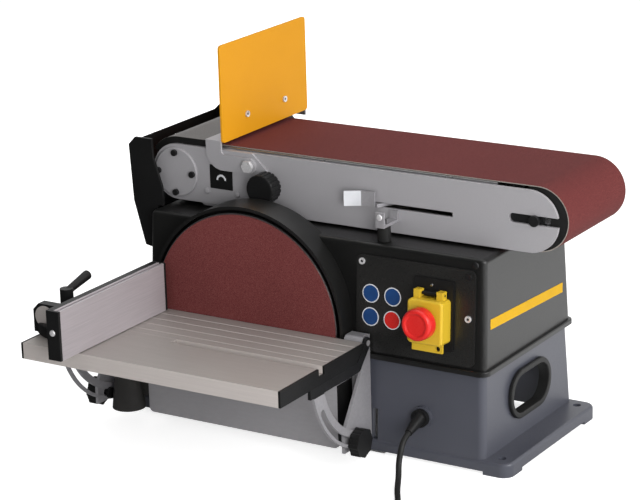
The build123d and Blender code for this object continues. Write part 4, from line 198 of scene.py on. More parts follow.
def slab(look):
    deselectAll()
    bpy.ops.mesh.primitive_cube_add(size=1.0, location=(0.0, 0.0, look["thick"] / 2))
    piece = bpy.context.object
    piece.scale = (look["length"], look["height"], look["thick"])
    bpy.ops.object.transform_apply(location=True, scale=True)
    if "corner" in look:
        pickEdges(piece, lambda run: abs(run.z) > look["thick"] / 2)
        bpy.ops.mesh.bevel(offset=look["corner"], segments=crease["cornerSteps"])
        leaveEdit()
    bevelEdges(piece, look["edge"])
    return piece


def setDown(piece, place, normal, along=acrossAxis):
    up = Vector(normal).normalized()
    across = up.cross(along).normalized()
    turn = Matrix((across.cross(up), across, up)).transposed()
    piece.matrix_world = Matrix.Translation(place) @ turn.to_4x4()
    return piece


def fitted(name, look, material, place, normal, along=acrossAxis):
    piece = turned(look) if "profile" in look else slab(look)
    settle(setDown(piece, place, normal, along), name, material)
    return onto(piece, look["body"])


# one turned model, and a copy with its own mesh for every further spot
def fitCopies(look, spots):
    pieces = [turned(look)]
    for _ in spots[1:]:
        pieces.append(linked("copy", pieces[0].data.copy()))
    for piece, (name, body, material, place, normal) in zip(pieces, spots):
        settle(setDown(piece, place, normal), name, material)
        onto(piece, body)
    return pieces


# materials: all read Object coordinates, in metres

noiseKinds = {  # detail and roughness
    "patch": (4.0, 0.55), "dust": (2.0, 0.55), "streak": (5.0, 0.65), "cloud": (3.0, 0.55),
    "grain": (2.0, 0.70)}
noiseSpan = (0.30, 0.70)  # where most of a noise lies
streakSpan = (0.25, 0.75)
gritSpan = (0.30, 0.52, 0.74)
wearSpan = (0.35, 0.65)
reliefStrength = {"wave": 0.35, "peel": 0.5, "scratch": 0.5, "grain": 0.8}
gritSurface = {"roughness": 0.86, "specular": 0.25, "worn": (0.88, 0.88, 0.88), "fresh": (1.0, 1.0, 1.0)}


def freshMaterial(name):
    material = bpy.data.materials.new(name)
    material.use_nodes = True
    tree = material.node_tree
    return material, tree, tree.nodes["Principled BSDF"]


def objectPlace(tree, stretch=(1.0, 1.0, 1.0)):
    coords = tree.nodes.new("ShaderNodeTexCoord")
    mapping = tree.nodes.new("ShaderNodeMapping")
    mapping.inputs["Scale"].default_value = stretch
    tree.links.new(coords.outputs["Object"], mapping.inputs["Vector"])
    return mapping.outputs["Vector"]


def noise(tree, place, scale, kind):
    detail, roughness = noiseKinds[kind]
    cloud = tree.nodes.new("ShaderNodeTexNoise")
    cloud.inputs["Scale"].default_value = scale
    cloud.inputs["Detail"].default_value = detail
    cloud.inputs["Roughness"].default_value = roughness
    tree.links.new(place, cloud.inputs["Vector"])
    return cloud.outputs["Fac"]


def ramp(tree, factor, positions, colours):
    band = tree.nodes.new("ShaderNodeValToRGB")
    stops = band.color_ramp.elements
    for position in positions[1:-1]:
        stops.new(position)
    stops[0].position = positions[0]
    stops[-1].position = positions[-1]
    for stop, colour in zip(stops, colours):
        stop.color = (*colour, 1.0)
    tree.links.new(factor, band.inputs["Fac"])
    return band.outputs["Color"]


def spread(tree, factor, low, high):
    mapRange = tree.nodes.new("ShaderNodeMapRange")
    mapRange.inputs["From Min"].default_value = noiseSpan[0]
    mapRange.inputs["From Max"].default_value = noiseSpan[1]
    mapRange.inputs["To Min"].default_value = low
    mapRange.inputs["To Max"].default_value = high
    tree.links.new(factor, mapRange.inputs["Value"])
    return mapRange.outputs["Result"]


def bump(tree, shader, height, distance, strength, under=None):
    relief = tree.nodes.new("ShaderNodeBump")
    relief.inputs["Distance"].default_value = distance
    relief.inputs["Strength"].default_value = strength
    tree.links.new(height, relief.inputs["Height"])
    if under is not None:
        tree.links.new(under, relief.inputs["Normal"])
    tree.links.new(relief.outputs["Normal"], shader.inputs["Normal"])
    return relief.outputs["Normal"]


def enamel(name, look):
    material, tree, shader = freshMaterial(name)
    place = objectPlace(tree)
    patches = noise(tree, place, look["patch"], "patch")
    dust = noise(tree, place, look["speck"], "dust")
    tint = ramp(tree, patches, noiseSpan, (look["dark"], look["light"]))
    tree.links.new(tint, shader.inputs["Base Color"])
    tree.links.new(spread(tree, dust, *look["gloss"]), shader.inputs["Roughness"])
    shader.inputs["Specular IOR Level"].default_value = look["specular"]
    wave = bump(tree, shader, patches, look["wave"], reliefStrength["wave"])
    bump(tree, shader, dust, look["peel"], reliefStrength["peel"], wave)
    return material


def metal(name, look):
    material, tree, shader = freshMaterial(name)
    place = objectPlace(tree, look["stretch"])
    streaks = noise(tree, place, look["streak"], "streak")
    clouds = noise(tree, objectPlace(tree), look["cloud"], "cloud")
    tint = ramp(tree, streaks, streakSpan, (look["dark"], look["light"]))
    tree.links.new(tint, shader.inputs["Base Color"])
    shader.inputs["Metallic"].default_value = look["metallic"]
    tree.links.new(spread(tree, clouds, *look["gloss"]), shader.inputs["Roughness"])
    bump(tree, shader, streaks, look["scratch"], reliefStrength["scratch"])
    return material


def abrasive(name, look):
    material, tree, shader = freshMaterial(name)
    place = objectPlace(tree)
    grain = noise(tree, place, look["grain"], "grain")
    patches = noise(tree, place, look["patch"], "cloud")
    fine = ramp(tree, grain, gritSpan, (look["dark"], look["middle"], look["light"]))
    wear = ramp(tree, patches, wearSpan, (gritSurface["worn"], gritSurface["fresh"]))
    mix = tree.nodes.new("ShaderNodeMix")
    mix.data_type = "RGBA"
    mix.blend_type = "MULTIPLY"
    mix.inputs["Factor"].default_value = 1.0
    tree.links.new(fine, mix.inputs["A"])
    tree.links.new(wear, mix.inputs["B"])
    tree.links.new(mix.outputs["Result"], shader.inputs["Base Color"])
    shader.inputs["Roughness"].default_value = gritSurface["roughness"]
    shader.inputs["Specular IOR Level"].default_value = gritSurface["specular"]
    bump(tree, shader, grain, look["height"], reliefStrength["grain"])
    return material


housingBlack = enamel("housingBlack", {
    "dark": (0.0065, 0.0065, 0.0063), "light": (0.0095, 0.0095, 0.0092), "patch": 9.0, "speck": 900.0,
    "gloss": (0.30, 0.40), "specular": 0.55, "wave": 0.0005, "peel": 0.00006})
panelBlack = enamel("panelBlack", {
    "dark": (0.0130, 0.0128, 0.0124), "light": (0.0170, 0.0168, 0.0162), "patch": 12.0, "speck": 1000.0,
    "gloss": (0.26, 0.34), "specular": 0.55, "wave": 0.0003, "peel": 0.00004})
plasticBlack = enamel("plasticBlack", {
    "dark": (0.0080, 0.0080, 0.0082), "light": (0.0115, 0.0115, 0.0118), "patch": 14.0, "speck": 1300.0,
    "gloss": (0.36, 0.48), "specular": 0.24, "wave": 0.0003, "peel": 0.00007})
rubberBlack = enamel("rubberBlack", {
    "dark": (0.0100, 0.0100, 0.0100), "light": (0.0150, 0.0150, 0.0145), "patch": 40.0, "speck": 1500.0,
    "gloss": (0.48, 0.62), "specular": 0.35, "wave": 0.0002, "peel": 0.00006})
baseGrey = enamel("baseGrey", {
    "dark": (0.058, 0.061, 0.078), "light": (0.070, 0.073, 0.091), "patch": 7.0, "speck": 800.0,
    "gloss": (0.34, 0.44), "specular": 0.55, "wave": 0.0008, "peel": 0.00006})
# grey that stands in for light and shade: painted sheen on the drum guard's top, painted shade on the stop
# bracket's back part
sheenAndShadeGrey = enamel("sheenAndShadeGrey", {
    "dark": (0.070, 0.064, 0.060), "light": (0.090, 0.082, 0.077), "patch": 14.0, "speck": 900.0,
    "gloss": (0.40, 0.50), "specular": 0.45, "wave": 0.0003, "peel": 0.00005})
spigotGrey = enamel("spigotGrey", {
    "dark": (0.030, 0.029, 0.028), "light": (0.042, 0.040, 0.038), "patch": 20.0, "speck": 1200.0,
    "gloss": (0.40, 0.50), "specular": 0.40, "wave": 0.0003, "peel": 0.00006})
stopYellow = enamel("stopYellow", {
    "dark": (0.66, 0.290, 0.010), "light": (0.71, 0.315, 0.013), "patch": 8.0, "speck": 700.0,
    "gloss": (0.40, 0.50), "specular": 0.12, "wave": 0.0003, "peel": 0.00004})
switchYellow = enamel("switchYellow", {
    "dark": (0.59, 0.385, 0.022), "light": (0.64, 0.430, 0.030), "patch": 25.0, "speck": 900.0,
    "gloss": (0.28, 0.38), "specular": 0.45, "wave": 0.0001, "peel": 0.00003})
stripeYellow = enamel("stripeYellow", {
    "dark": (0.61, 0.345, 0.003), "light": (0.66, 0.375, 0.004), "patch": 25.0, "speck": 900.0,
    "gloss": (0.44, 0.52), "specular": 0.15, "wave": 0.00005, "peel": 0.00002})
stopRed = enamel("stopRed", {
    "dark": (0.60, 0.015, 0.013), "light": (0.66, 0.020, 0.016), "patch": 25.0, "speck": 900.0,
    "gloss": (0.26, 0.36), "specular": 0.45, "wave": 0.0001, "peel": 0.00003})
startGreen = enamel("startGreen", {
    "dark": (0.015, 0.26, 0.045), "light": (0.020, 0.31, 0.055), "patch": 25.0, "speck": 900.0,
    "gloss": (0.28, 0.38), "specular": 0.45, "wave": 0.0001, "peel": 0.00003})
signBlue = enamel("signBlue", {
    "dark": (0.008, 0.042, 0.150), "light": (0.011, 0.058, 0.195), "patch": 60.0, "speck": 900.0,
    "gloss": (0.28, 0.36), "specular": 0.45, "wave": 0.00005, "peel": 0.00002})
# white of the signs and of the casting plate's arc, also used as painted light on the tension lever's grip
signWhiteAndLitGrip = enamel("signWhiteAndLitGrip", {
    "dark": (0.62, 0.63, 0.66), "light": (0.70, 0.71, 0.74), "patch": 60.0, "speck": 900.0,
    "gloss": (0.30, 0.40), "specular": 0.45, "wave": 0.00005, "peel": 0.00002})
armSilver = metal("armSilver", {
    "dark": (0.408, 0.398, 0.416), "light": (0.442, 0.431, 0.449), "stretch": (1.0, 1.0, 1.0),
    "streak": 1100.0, "cloud": 12.0, "gloss": (0.46, 0.56), "metallic": 0.25, "scratch": 0.00002})
tableMetal = metal("tableMetal", {
    "dark": (0.38, 0.350, 0.328), "light": (0.45, 0.416, 0.396), "stretch": (1.0, 60.0, 60.0),
    "streak": 18.0, "cloud": 7.0, "gloss": (0.42, 0.54), "metallic": 0.40, "scratch": 0.00004})
# a lighter copy of the table metal: painted light on the table's front faces, and also the mitre dial's own
# face
litFrontAndDialMetal = metal("litFrontAndDialMetal", {
    "dark": (0.58, 0.530, 0.505), "light": (0.64, 0.588, 0.560), "stretch": (1.0, 40.0, 40.0),
    "streak": 14.0, "cloud": 7.0, "gloss": (0.44, 0.54), "metallic": 0.20, "scratch": 0.00002})
fenceMetal = metal("fenceMetal", {
    "dark": (0.40, 0.365, 0.385), "light": (0.50, 0.460, 0.480), "stretch": (60.0, 1.0, 60.0),
    "streak": 16.0, "cloud": 8.0, "gloss": (0.38, 0.50), "metallic": 0.40, "scratch": 0.00004})
guardSteel = metal("guardSteel", {
    "dark": (0.37, 0.360, 0.378), "light": (0.41, 0.400, 0.418), "stretch": (1.0, 4.0, 4.0),
    "streak": 120.0, "cloud": 9.0, "gloss": (0.42, 0.52), "metallic": 0.20, "scratch": 0.00002})
brightSteel = metal("brightSteel", {
    "dark": (0.55, 0.55, 0.56), "light": (0.74, 0.74, 0.75), "stretch": (1.0, 1.0, 1.0),
    "streak": 420.0, "cloud": 60.0, "gloss": (0.18, 0.32), "metallic": 1.0, "scratch": 0.00003})
turnedMetal = metal("turnedMetal", {
    "dark": (0.46, 0.46, 0.47), "light": (0.62, 0.62, 0.63), "stretch": (1.0, 80.0, 1.0),
    "streak": 30.0, "cloud": 40.0, "gloss": (0.26, 0.38), "metallic": 1.0, "scratch": 0.00004})
blackSteel = metal("blackSteel", {
    "dark": (0.020, 0.020, 0.021), "light": (0.034, 0.034, 0.035), "stretch": (1.0, 1.0, 1.0),
    "streak": 300.0, "cloud": 50.0, "gloss": (0.34, 0.46), "metallic": 0.6, "scratch": 0.00002})
zincPlate = metal("zincPlate", {
    "dark": (0.38, 0.37, 0.39), "light": (0.46, 0.45, 0.47), "stretch": (1.0, 1.0, 1.0),
    "streak": 320.0, "cloud": 40.0, "gloss": (0.34, 0.44), "metallic": 0.45, "scratch": 0.00002})
screwZinc = metal("screwZinc", {
    "dark": (0.62, 0.61, 0.62), "light": (0.80, 0.79, 0.80), "stretch": (1.0, 1.0, 1.0),
    "streak": 500.0, "cloud": 60.0, "gloss": (0.24, 0.34), "metallic": 0.40, "scratch": 0.00002})
beltGrit = abrasive("beltGrit", {
    "dark": (0.070, 0.013, 0.013), "middle": (0.152, 0.030, 0.029), "light": (0.25, 0.072, 0.068),
    "grain": 1500.0, "patch": 5.0, "height": 0.00022})
discGrit = abrasive("discGrit", {
    "dark": (0.080, 0.017, 0.017), "middle": (0.172, 0.040, 0.039), "light": (0.28, 0.100, 0.094),
    "grain": 1500.0, "patch": 7.0, "height": 0.00020})
clothBacking = abrasive("clothBacking", {
    "dark": (0.20, 0.18, 0.16), "middle": (0.33, 0.30, 0.27), "light": (0.44, 0.41, 0.37),
    "grain": 900.0, "patch": 30.0, "height": 0.00012})
print("materials made")


# CAD shapes that show: a copy with its edges broken, and a finish

cleanUp = {"merge": 0.00002, "flatWithin": 0.4}  # metres, degrees


def narrowed(piece, width):
    middle = sum((corner.co.x for corner in piece.data.vertices)) / len(piece.data.vertices)
    for side in (1.0, -1.0):
        editAll(piece)
        bpy.ops.mesh.bisect(plane_co=(middle + side * width / 2, 0.0, 0.0), plane_no=(side, 0.0, 0.0),
                            use_fill=True, clear_outer=True)
    leaveEdit()


def dressed(look, material):
    node = look["node"]
    piece = linked(node + "_finish", frame["nodes"][node].data.copy())
    editAll(piece)
    bpy.ops.mesh.remove_doubles(threshold=cleanUp["merge"])
    bpy.ops.mesh.dissolve_limited(angle_limit=math.radians(cleanUp["flatWithin"]))
    leaveEdit()
    bpy.ops.mesh.customdata_custom_splitnormals_clear()
    if "width" in look:
        narrowed(piece, look["width"])
    bevelEdges(piece, look["edge"], look.get("rounds", crease["segments"]))
    coat(piece, material)
    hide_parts(node)
    return onto(piece, bodyOfNode[node])


def scoreLine(piece, place, normal):
    editAll(piece)
    bpy.ops.mesh.bisect(plane_co=place, plane_no=normal)
    leaveEdit()


def paintFaces(piece, material, isThere):
    piece.data.materials.append(material)
    index = len(piece.data.materials) - 1
    for face in piece.data.polygons:
        if isThere(face.center, face.normal):
            face.material_index = index


screwRecess = {"inset": 0.0018, "depth": 0.0008}


# each head's drive recess is sunk only a little and painted black steel: painted shade standing in for a
# deeper recess
def sinkHeads(piece, isHead):
    pickFaces(piece, isHead)
    bpy.ops.mesh.inset(thickness=screwRecess["inset"], depth=-screwRecess["depth"], use_individual=True)
    leaveEdit()
    piece.data.materials.append(blackSteel)
    index = len(piece.data.materials) - 1
    for face in piece.data.polygons:
        if face.select:
            face.material_index = index


# stand and housing
dressed({"node": "base_casting", "edge": 0.0016}, baseGrey)
dressed({"node": "handle_grommets", "edge": 0.0010}, rubberBlack)
dressed({"node": "housing_shell", "edge": 0.0012}, housingBlack)
dressed({"node": "drum_hood", "edge": 0.0016}, plasticBlack)
discBox = dressed({"node": "lower_disc_guard", "edge": 0.0006}, guardSteel)
# its side walls are painted black: painted shade for the dark strip beside the guard's front plate
paintFaces(discBox, housingBlack, lambda center, normal: abs(normal.x) > facing)
dressed({"node": "dust_spigot", "edge": 0.0010}, spigotGrey)
dressed({"node": "table_brackets", "edge": 0.0006}, zincPlate)

quadrants = {"node": "table_trunnions", "edge": 0.0006, "blackBar": 0.013}  # down from the table's underside


def dressQuadrants():
    piece = dressed(quadrants, zincPlate)
    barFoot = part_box("table_top")[0].z - quadrants["blackBar"]
    scoreLine(piece, upAxis * barFoot, upAxis)
    paintFaces(piece, blackSteel, lambda center, normal: center.z > barFoot)


dressQuadrants()

panelScrews = {"node": "machine_screws", "edge": 0.0006, "blackFrom": (0.19, 0.22)}  # x and z, top right


def dressPanelScrews():
    piece = dressed(panelScrews, screwZinc)
    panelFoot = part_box("switch_panel")[0].z
    sinkHeads(piece, lambda center, normal: normal.y < -squarely and center.z > panelFoot)
    side, rise = panelScrews["blackFrom"]
    paintFaces(piece, blackSteel, lambda center, normal: center.x > side and center.z > rise)


dressPanelScrews()
dressed({"node": "switch_panel", "edge": 0.0008}, panelBlack)
dressed({"node": "switch_body", "edge": 0.0005}, plasticBlack)
dressed({"node": "pivot_bracket", "edge": 0.0008}, armSilver)
dressed({"node": "rear_belt_cover", "edge": 0.0008}, plasticBlack)
cordGland = dressed({"node": "cord_gland", "edge": 0.0008}, plasticBlack)
mainsPlug = dressed({"node": "mains_plug", "edge": 0.0010}, plasticBlack)
dressed({"node": "disc_plate", "edge": 0.0006}, turnedMetal)
dressed({"node": "abrasive_disc", "edge": 0.0003}, discGrit)

# belt arm
dressed({"node": "arm_plate_front", "edge": 0.0016, "rounds": 3}, armSilver)
dressed({"node": "arm_plate_rear", "edge": 0.0016, "rounds": 3}, armSilver)
dressed({"node": "platen", "edge": 0.0006}, turnedMetal)
dressed({"node": "drive_end_casting", "edge": 0.0008}, armSilver)
dressed({"node": "drum_cover", "edge": 0.0003}, armSilver)

armScrews = {"node": "arm_screws", "edge": 0.0006}


def dressArmScrews():
    piece = dressed(armScrews, screwZinc)
    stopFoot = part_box("stop_plate")[0].z
    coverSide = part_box("drum_cover")[1].x
    sinkHeads(piece, lambda center, normal: normal.x > squarely and center.z > stopFoot)
    paintFaces(piece, blackSteel, lambda center, normal: center.x < coverSide)


dressArmScrews()
# the drum guard is black all over; its top and wrap are painted grey as painted sheen from the light above,
# and only the faces looking to the front and back keep the black
drumGuard = dressed({"node": "drum_guard", "edge": 0.0004}, sheenAndShadeGrey)
paintFaces(drumGuard, housingBlack, lambda center, normal: abs(normal.y) > facing)

# the bracket's back part is painted grey: painted shade, where that part sits in shadow
stopHook = {"node": "stop_bracket", "edge": 0.0008, "shadedFrom": 0.055}  # y, towards the back
paintFaces(dressed(stopHook, armSilver), sheenAndShadeGrey, lambda center, normal: center.y > stopHook["shadedFrom"])
dressed({"node": "stop_plate", "edge": 0.0004}, stopYellow)

sandingBelt = {"node": "abrasive_belt", "edge": 0.0002}


def dressBelt():
    drive = middleOf("drive_drum")
    idler = middleOf("idler_drum")

    def isBack(center, normal):
        spine = Vector((min(max(center.x, drive.x), idler.x), center.y, drive.z))
        return abs(normal.y) > facing or normal.dot(center - spine) < 0.0

    paintFaces(dressed(sandingBelt, beltGrit), clothBacking, isBack)


dressBelt()

bumperClip = {"node": "bumper_bracket", "edge": 0.0010, "width": 0.0115, "lip": 0.0040, "rise": 0.0065}


# its front leg stands taller than the CAD's
def dressBumperClip():
    piece = dressed(bumperClip, zincPlate)
    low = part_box("bumper_bracket")[0]
    middle = middleOf("bumper_bracket")
    for corner in piece.data.vertices:
        if corner.co.y < low.y + bumperClip["lip"] and corner.co.z > middle.z:
            corner.co.z += bumperClip["rise"]


dressBumperClip()
dressed({"node": "bumper_foot", "edge": 0.0006}, rubberBlack)

tensionLever = {"node": "tension_lever", "edge": 0.0005, "grip": 0.019}


def dressTensionLever():
    # the grip end, up to the knee, is painted pale: painted light for the grip catching more light than the
    # rest; past the knee it is zinc
    piece = dressed(tensionLever, signWhiteAndLitGrip)
    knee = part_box("tension_lever")[0].x + tensionLever["grip"]
    scoreLine(piece, acrossAxis * knee, acrossAxis)
    paintFaces(piece, zincPlate, lambda center, normal: center.x > knee)


dressTensionLever()
dressed({"node": "idler_axle", "edge": 0.0006}, blackSteel)
dressed({"node": "tracking_knob", "edge": 0.0008}, plasticBlack)

# table, mitre gauge and switch
sandingTable = dressed({"node": "table_top", "edge": 0.0004}, tableMetal)
# the table's front faces get the lighter copy of its metal: painted light for a brighter front
paintFaces(sandingTable, litFrontAndDialMetal, lambda center, normal: normal.y < -facing)
dressed({"node": "table_end_caps", "edge": 0.0005}, plasticBlack)
dressed({"node": "table_knob_left", "edge": 0.0016}, plasticBlack)
dressed({"node": "table_knob_right", "edge": 0.0016}, plasticBlack)
dressed({"node": "mitre_bar", "edge": 0.0005}, tableMetal)
dressed({"node": "mitre_head", "edge": 0.0010}, plasticBlack)
dressed({"node": "fence_rail", "edge": 0.0005}, fenceMetal)
dressed({"node": "fence_end_caps", "edge": 0.0006}, plasticBlack)
dressed({"node": "mitre_lever", "edge": 0.0010}, plasticBlack)
dressed({"node": "switch_flap", "edge": 0.0005}, switchYellow)

# shown as the CAD has them, mostly inside
asBuilt = [
    (startGreen, ["start_button"]), (stopRed, ["stop_button"]), (blackSteel, ["idler_yoke"]),
    (brightSteel, ["tension_spring", "motor_rotor", "motor_bearings", "drum_bearings", "idler_bearings",
                   "motor_stator"]),
    (turnedMetal, ["motor_end_bells", "motor_pulley", "drum_pulley", "drive_drum"]),
    (rubberBlack, ["drive_belt", "idler_drum"]),
]
for material, nodes in asBuilt:
    for node in nodes:
        coat(frame["nodes"][node], material)
print("CAD shapes finished")


# small pieces that finish the faces: screws, plain dots, the stripe and plates

frontFace = {"foot": Vector((0.0, -0.1110, 0.1180)), "up": Vector((0.0, 0.0619247, 0.9980808)),
             "out": Vector((0.0, -0.9980808, 0.0619247))}


def onFront(across, rise, out):
    return frontFace["foot"] + acrossAxis * across + frontFace["up"] * rise + frontFace["out"] * out


panelDots = {
    "profile": [(0.0112, 0.00030), (0.0100, 0.00034), (0.0098, 0.00036)], "sides": 64, "edge": 0.00006,
    "body": "machine", "slot": "black_plastic", "out": 0.0025, "inside": 0.0099,
    "places": [("topLeft", 0.0846, 0.0784, signBlue), ("topRight", 0.1140, 0.0782, signBlue),
               ("lowLeft", 0.0844, 0.0503, signBlue), ("lowRight", 0.1134, 0.0500, stopRed)]}


def fitPanelDots():
    spots = []
    for name, across, rise, _ in panelDots["places"]:
        place = onFront(across, rise, panelDots["out"])
        spots.append(("panelDot_" + name, panelDots["body"], signWhiteAndLitGrip, place, frontFace["out"]))
    for dot, (_, across, rise, tint) in zip(fitCopies(panelDots, spots), panelDots["places"]):
        middle = onFront(across, rise, panelDots["out"])
        paintFaces(dot, tint, lambda center, normal: (center - middle).length < panelDots["inside"])


fitPanelDots()

plateScrew = {"profile": [(0.0017, 0.0006), (0.0014, 0.0010), (0.0007, 0.0012)], "edge": 0.00015,
              "body": "machine", "slot": "bright_steel", "place": (0.1674, 0.1006, 0.0055)}
fitted("plateScrew", plateScrew, brightSteel, onFront(*plateScrew["place"]), frontFace["out"])

domeScrew = {
    "profile": [(0.0038, 0.0008), (0.0034, 0.0016), (0.0025, 0.0022), (0.0012, 0.0025)], "edge": 0.00015,
    "slot": "bright_steel", "corner": (0.2210, 0.1300, 0.0), "fence": (-0.1925, 0.0, 0.1795),
    "casting": [(-0.1712, 0.0, 0.2779), (-0.1276, 0.0, 0.2779)], "clipDrop": 0.0002}


def fitDomeScrews():
    corner = touch("housing_shell", onFront(*domeScrew["corner"]), -frontFace["out"])
    spots = [("cornerScrew", "machine", blackSteel, *corner)]
    for number, place in enumerate(domeScrew["casting"]):
        bolt = touch("drive_end_casting", place, backAxis)
        spots.append(("castingBolt_" + str(number), "arm", armSilver, *bolt))
    low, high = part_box("bumper_bracket")
    clip = Vector(((low.x + high.x) / 2, low.y, high.z - domeScrew["clipDrop"]))
    spots.append(("clipBolt", "arm", screwZinc, clip, -backAxis))
    fence = touch("fence_end_caps", domeScrew["fence"], backAxis)
    spots.append(("fenceScrew", "mitre_gauge", screwZinc, *fence))
    fitCopies(domeScrew, spots)


fitDomeScrews()

sideStripe = {"start": (0.0, -0.0935, 0.1760), "end": (0.0, 0.0905, 0.1680), "height": 0.0120,
              "thick": 0.00025, "edge": 0.00008, "body": "machine", "slot": "yellow_paint"}


def laySideStripe():
    start, _ = touch("housing_shell", sideStripe["start"], -acrossAxis)
    end, normal = touch("housing_shell", sideStripe["end"], -acrossAxis)
    run = end - start
    look = {**sideStripe, "length": run.length}
    fitted("sideStripe", look, stripeYellow, (start + end) / 2, normal, run.normalized())


laySideStripe()

castingPlate = {"length": 0.0330, "height": 0.0300, "thick": 0.00030, "corner": 0.0010, "edge": 0.00008,
                "body": "arm", "slot": "black_plastic", "middle": (-0.1500, 0.0, 0.2972)}
plateArc = {"radius": 0.0058, "width": 0.0013, "flat": 0.25, "drop": 0.0035, "steps": (48, 10)}


def layPlateArc(middle):
    around, across = plateArc["steps"]
    deselectAll()
    bpy.ops.mesh.primitive_torus_add(major_radius=plateArc["radius"], minor_radius=plateArc["width"],
                                     major_segments=around, minor_segments=across)
    piece = bpy.context.object
    editAll(piece)
    bpy.ops.transform.resize(value=(1.0, 1.0, plateArc["flat"]))
    bpy.ops.mesh.bisect(plane_co=(0.0, 0.0, 0.0), plane_no=backAxis, use_fill=True, clear_inner=True)
    leaveEdit()
    bpy.ops.object.shade_smooth_by_angle(angle=math.radians(crease["angle"]))
    settle(setDown(piece, middle, -backAxis), "plateArc", signWhiteAndLitGrip)
    onto(piece, castingPlate["body"])


def layCastingPlate():
    place, normal = touch("drive_end_casting", castingPlate["middle"], backAxis)
    fitted("castingPlate", castingPlate, plasticBlack, place, normal)
    layPlateArc(place - backAxis * castingPlate["thick"] - upAxis * plateArc["drop"])


layCastingPlate()

mitreFace = {"profile": [(0.0135, 0.0012), (0.0122, 0.0016), (0.0116, 0.0013)], "sides": 64, "edge": 0.00015,
             "body": "mitre_gauge", "slot": "table_aluminium", "middle": (-0.2620, 0.0, 0.1665)}
fitted("mitreFace", mitreFace, litFrontAndDialMetal, *touch("mitre_head", mitreFace["middle"], backAxis))

coverScrew = {"profile": [(0.0042, 0.0034), (0.0026, 0.0034), (0.0024, 0.0014)], "edge": 0.0003,
              "body": "machine", "slot": "bright_steel", "end": 0.0360, "side": 0.0340}


def screwRearCover():
    drum = middleOf("drum_pulley")
    motor = middleOf("motor_pulley")
    middle = (drum + motor) / 2
    along = (motor - drum).normalized()
    aside = along.cross(backAxis) * coverScrew["side"]
    beyond = along * coverScrew["end"]
    spots = []
    for number, place in enumerate((drum - beyond, motor + beyond, middle + aside, middle - aside)):
        seat = touch("rear_belt_cover", (place.x, 0.0, place.z), -backAxis)
        spots.append(("coverScrew_" + str(number), coverScrew["body"], blackSteel, *seat))
    fitCopies(coverScrew, spots)


screwRearCover()

# stop mushroom: a thick rim round a dished face, on its stem through the flap
mushroom = {
    "stem": 0.0065, "cap": 0.0170, "sides": 72, "edge": 0.0005, "faceDepth": 0.0005,
    "under": [(0.0178, 0.0), (0.0190, 0.0014)],  # radius, height over the stem
    "crown": [(0.0190, 0.0060), (0.0184, 0.0030), (0.0172, 0.0008), (0.0152, 0.0), (0.0136, 0.0006),
              (0.0122, 0.0022), (0.0060, 0.0025)],  # radius, depth under the top
    "body": "stop_mushroom", "slot": "red_plastic"}


def makeMushroom():
    center = middleOf("stop_mushroom")
    corners = [corner.co - center for corner in frame["nodes"]["stop_mushroom"].data.vertices]
    reach = [corner.dot(frontFace["out"]) for corner in corners]
    top = max(reach) - min(reach)
    stemTop = top - mushroom["cap"]
    profile = [(mushroom["stem"], stemTop)]
    profile += [(radius, stemTop + height) for radius, height in mushroom["under"]]
    profile += [(radius, top - depth) for radius, depth in mushroom["crown"]]
    front = [corner for corner, far in zip(corners, reach) if far > max(reach) - mushroom["faceDepth"]]
    seat = center + sum(front, Vector()) / len(front) - frontFace["out"] * top
    cap = fitted("mushroomCap", {**mushroom, "profile": profile}, stopRed, seat, frontFace["out"])
    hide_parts("stop_mushroom")


makeMushroom()
print("small pieces fitted")


# mains lead: one smooth cord from the gland, with its put-away coil and tail

mainsLead = {
    "diameter": 0.0070, "roundSteps": 5, "lengthSteps": 6, "order": 3,
    "route": [
        (0.1530, -0.14543, 0.04711), (0.1530, -0.15671, 0.04300), (0.1550, -0.16711, 0.03364),
        (0.1560, -0.17438, 0.02052), (0.1615, -0.18411, 0.01045), (0.1675, -0.19680, 0.00453),
        (0.1765, -0.21380, 0.00380), (0.1940, -0.24180, 0.00350), (0.2050, -0.27000, 0.00350),
        (0.2106, -0.29700, 0.00350), (0.2106, -0.32300, 0.00350)],
    "coilMiddle": (0.2610, -0.3230), "innerRadius": 0.0270, "pitch": 0.0078, "turns": 3, "lastTurn": 5.25,
    "dotsPerTurn": 16, "climbTurns": 0.5,
    "tail": [
        (0.2740, -0.36780, 0.01150), (0.2860, -0.37860, 0.01415), (0.2980, -0.38930, 0.01690),
        (0.3110, -0.38955, 0.01700)],
}


# inwards on the floor, then an eased climb and outwards again in a second layer
def coilDot(turn):
    past = turn - mainsLead["turns"]
    angle = math.pi + 2 * math.pi * turn
    radius = mainsLead["innerRadius"] + mainsLead["pitch"] * abs(past)
    climb = min(max(past / mainsLead["climbTurns"] + 0.5, 0.0), 1.0)
    rise = climb * climb * (3 - 2 * climb)
    middleX, middleY = mainsLead["coilMiddle"]
    height = mainsLead["diameter"] / 2 + mainsLead["pitch"] * rise
    return (middleX + radius * math.cos(angle), middleY + radius * math.sin(angle), height)


def layCord():
    dots = list(mainsLead["route"])
    steps = int(mainsLead["lastTurn"] * mainsLead["dotsPerTurn"])
    for step in range(1, steps + 1):
        dots.append(coilDot(step / mainsLead["dotsPerTurn"]))
    dots += mainsLead["tail"]
    line = bpy.data.curves.new("mainsLead", "CURVE")
    line.dimensions = "3D"
    line.bevel_depth = mainsLead["diameter"] / 2
    line.bevel_resolution = mainsLead["roundSteps"]
    line.resolution_u = mainsLead["lengthSteps"]
    line.use_fill_caps = True
    spline = line.splines.new("NURBS")
    spline.points.add(len(dots) - 1)
    for point, dot in zip(spline.points, dots):
        point.co = (*dot, 1.0)
    spline.order_u = mainsLead["order"]
    spline.use_endpoint_u = True
    cord = linked("mainsLead", line)
    coat(cord, rubberBlack)
    onto(cord, "machine")
    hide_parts("power_cord", "cord_coil")
    return cord


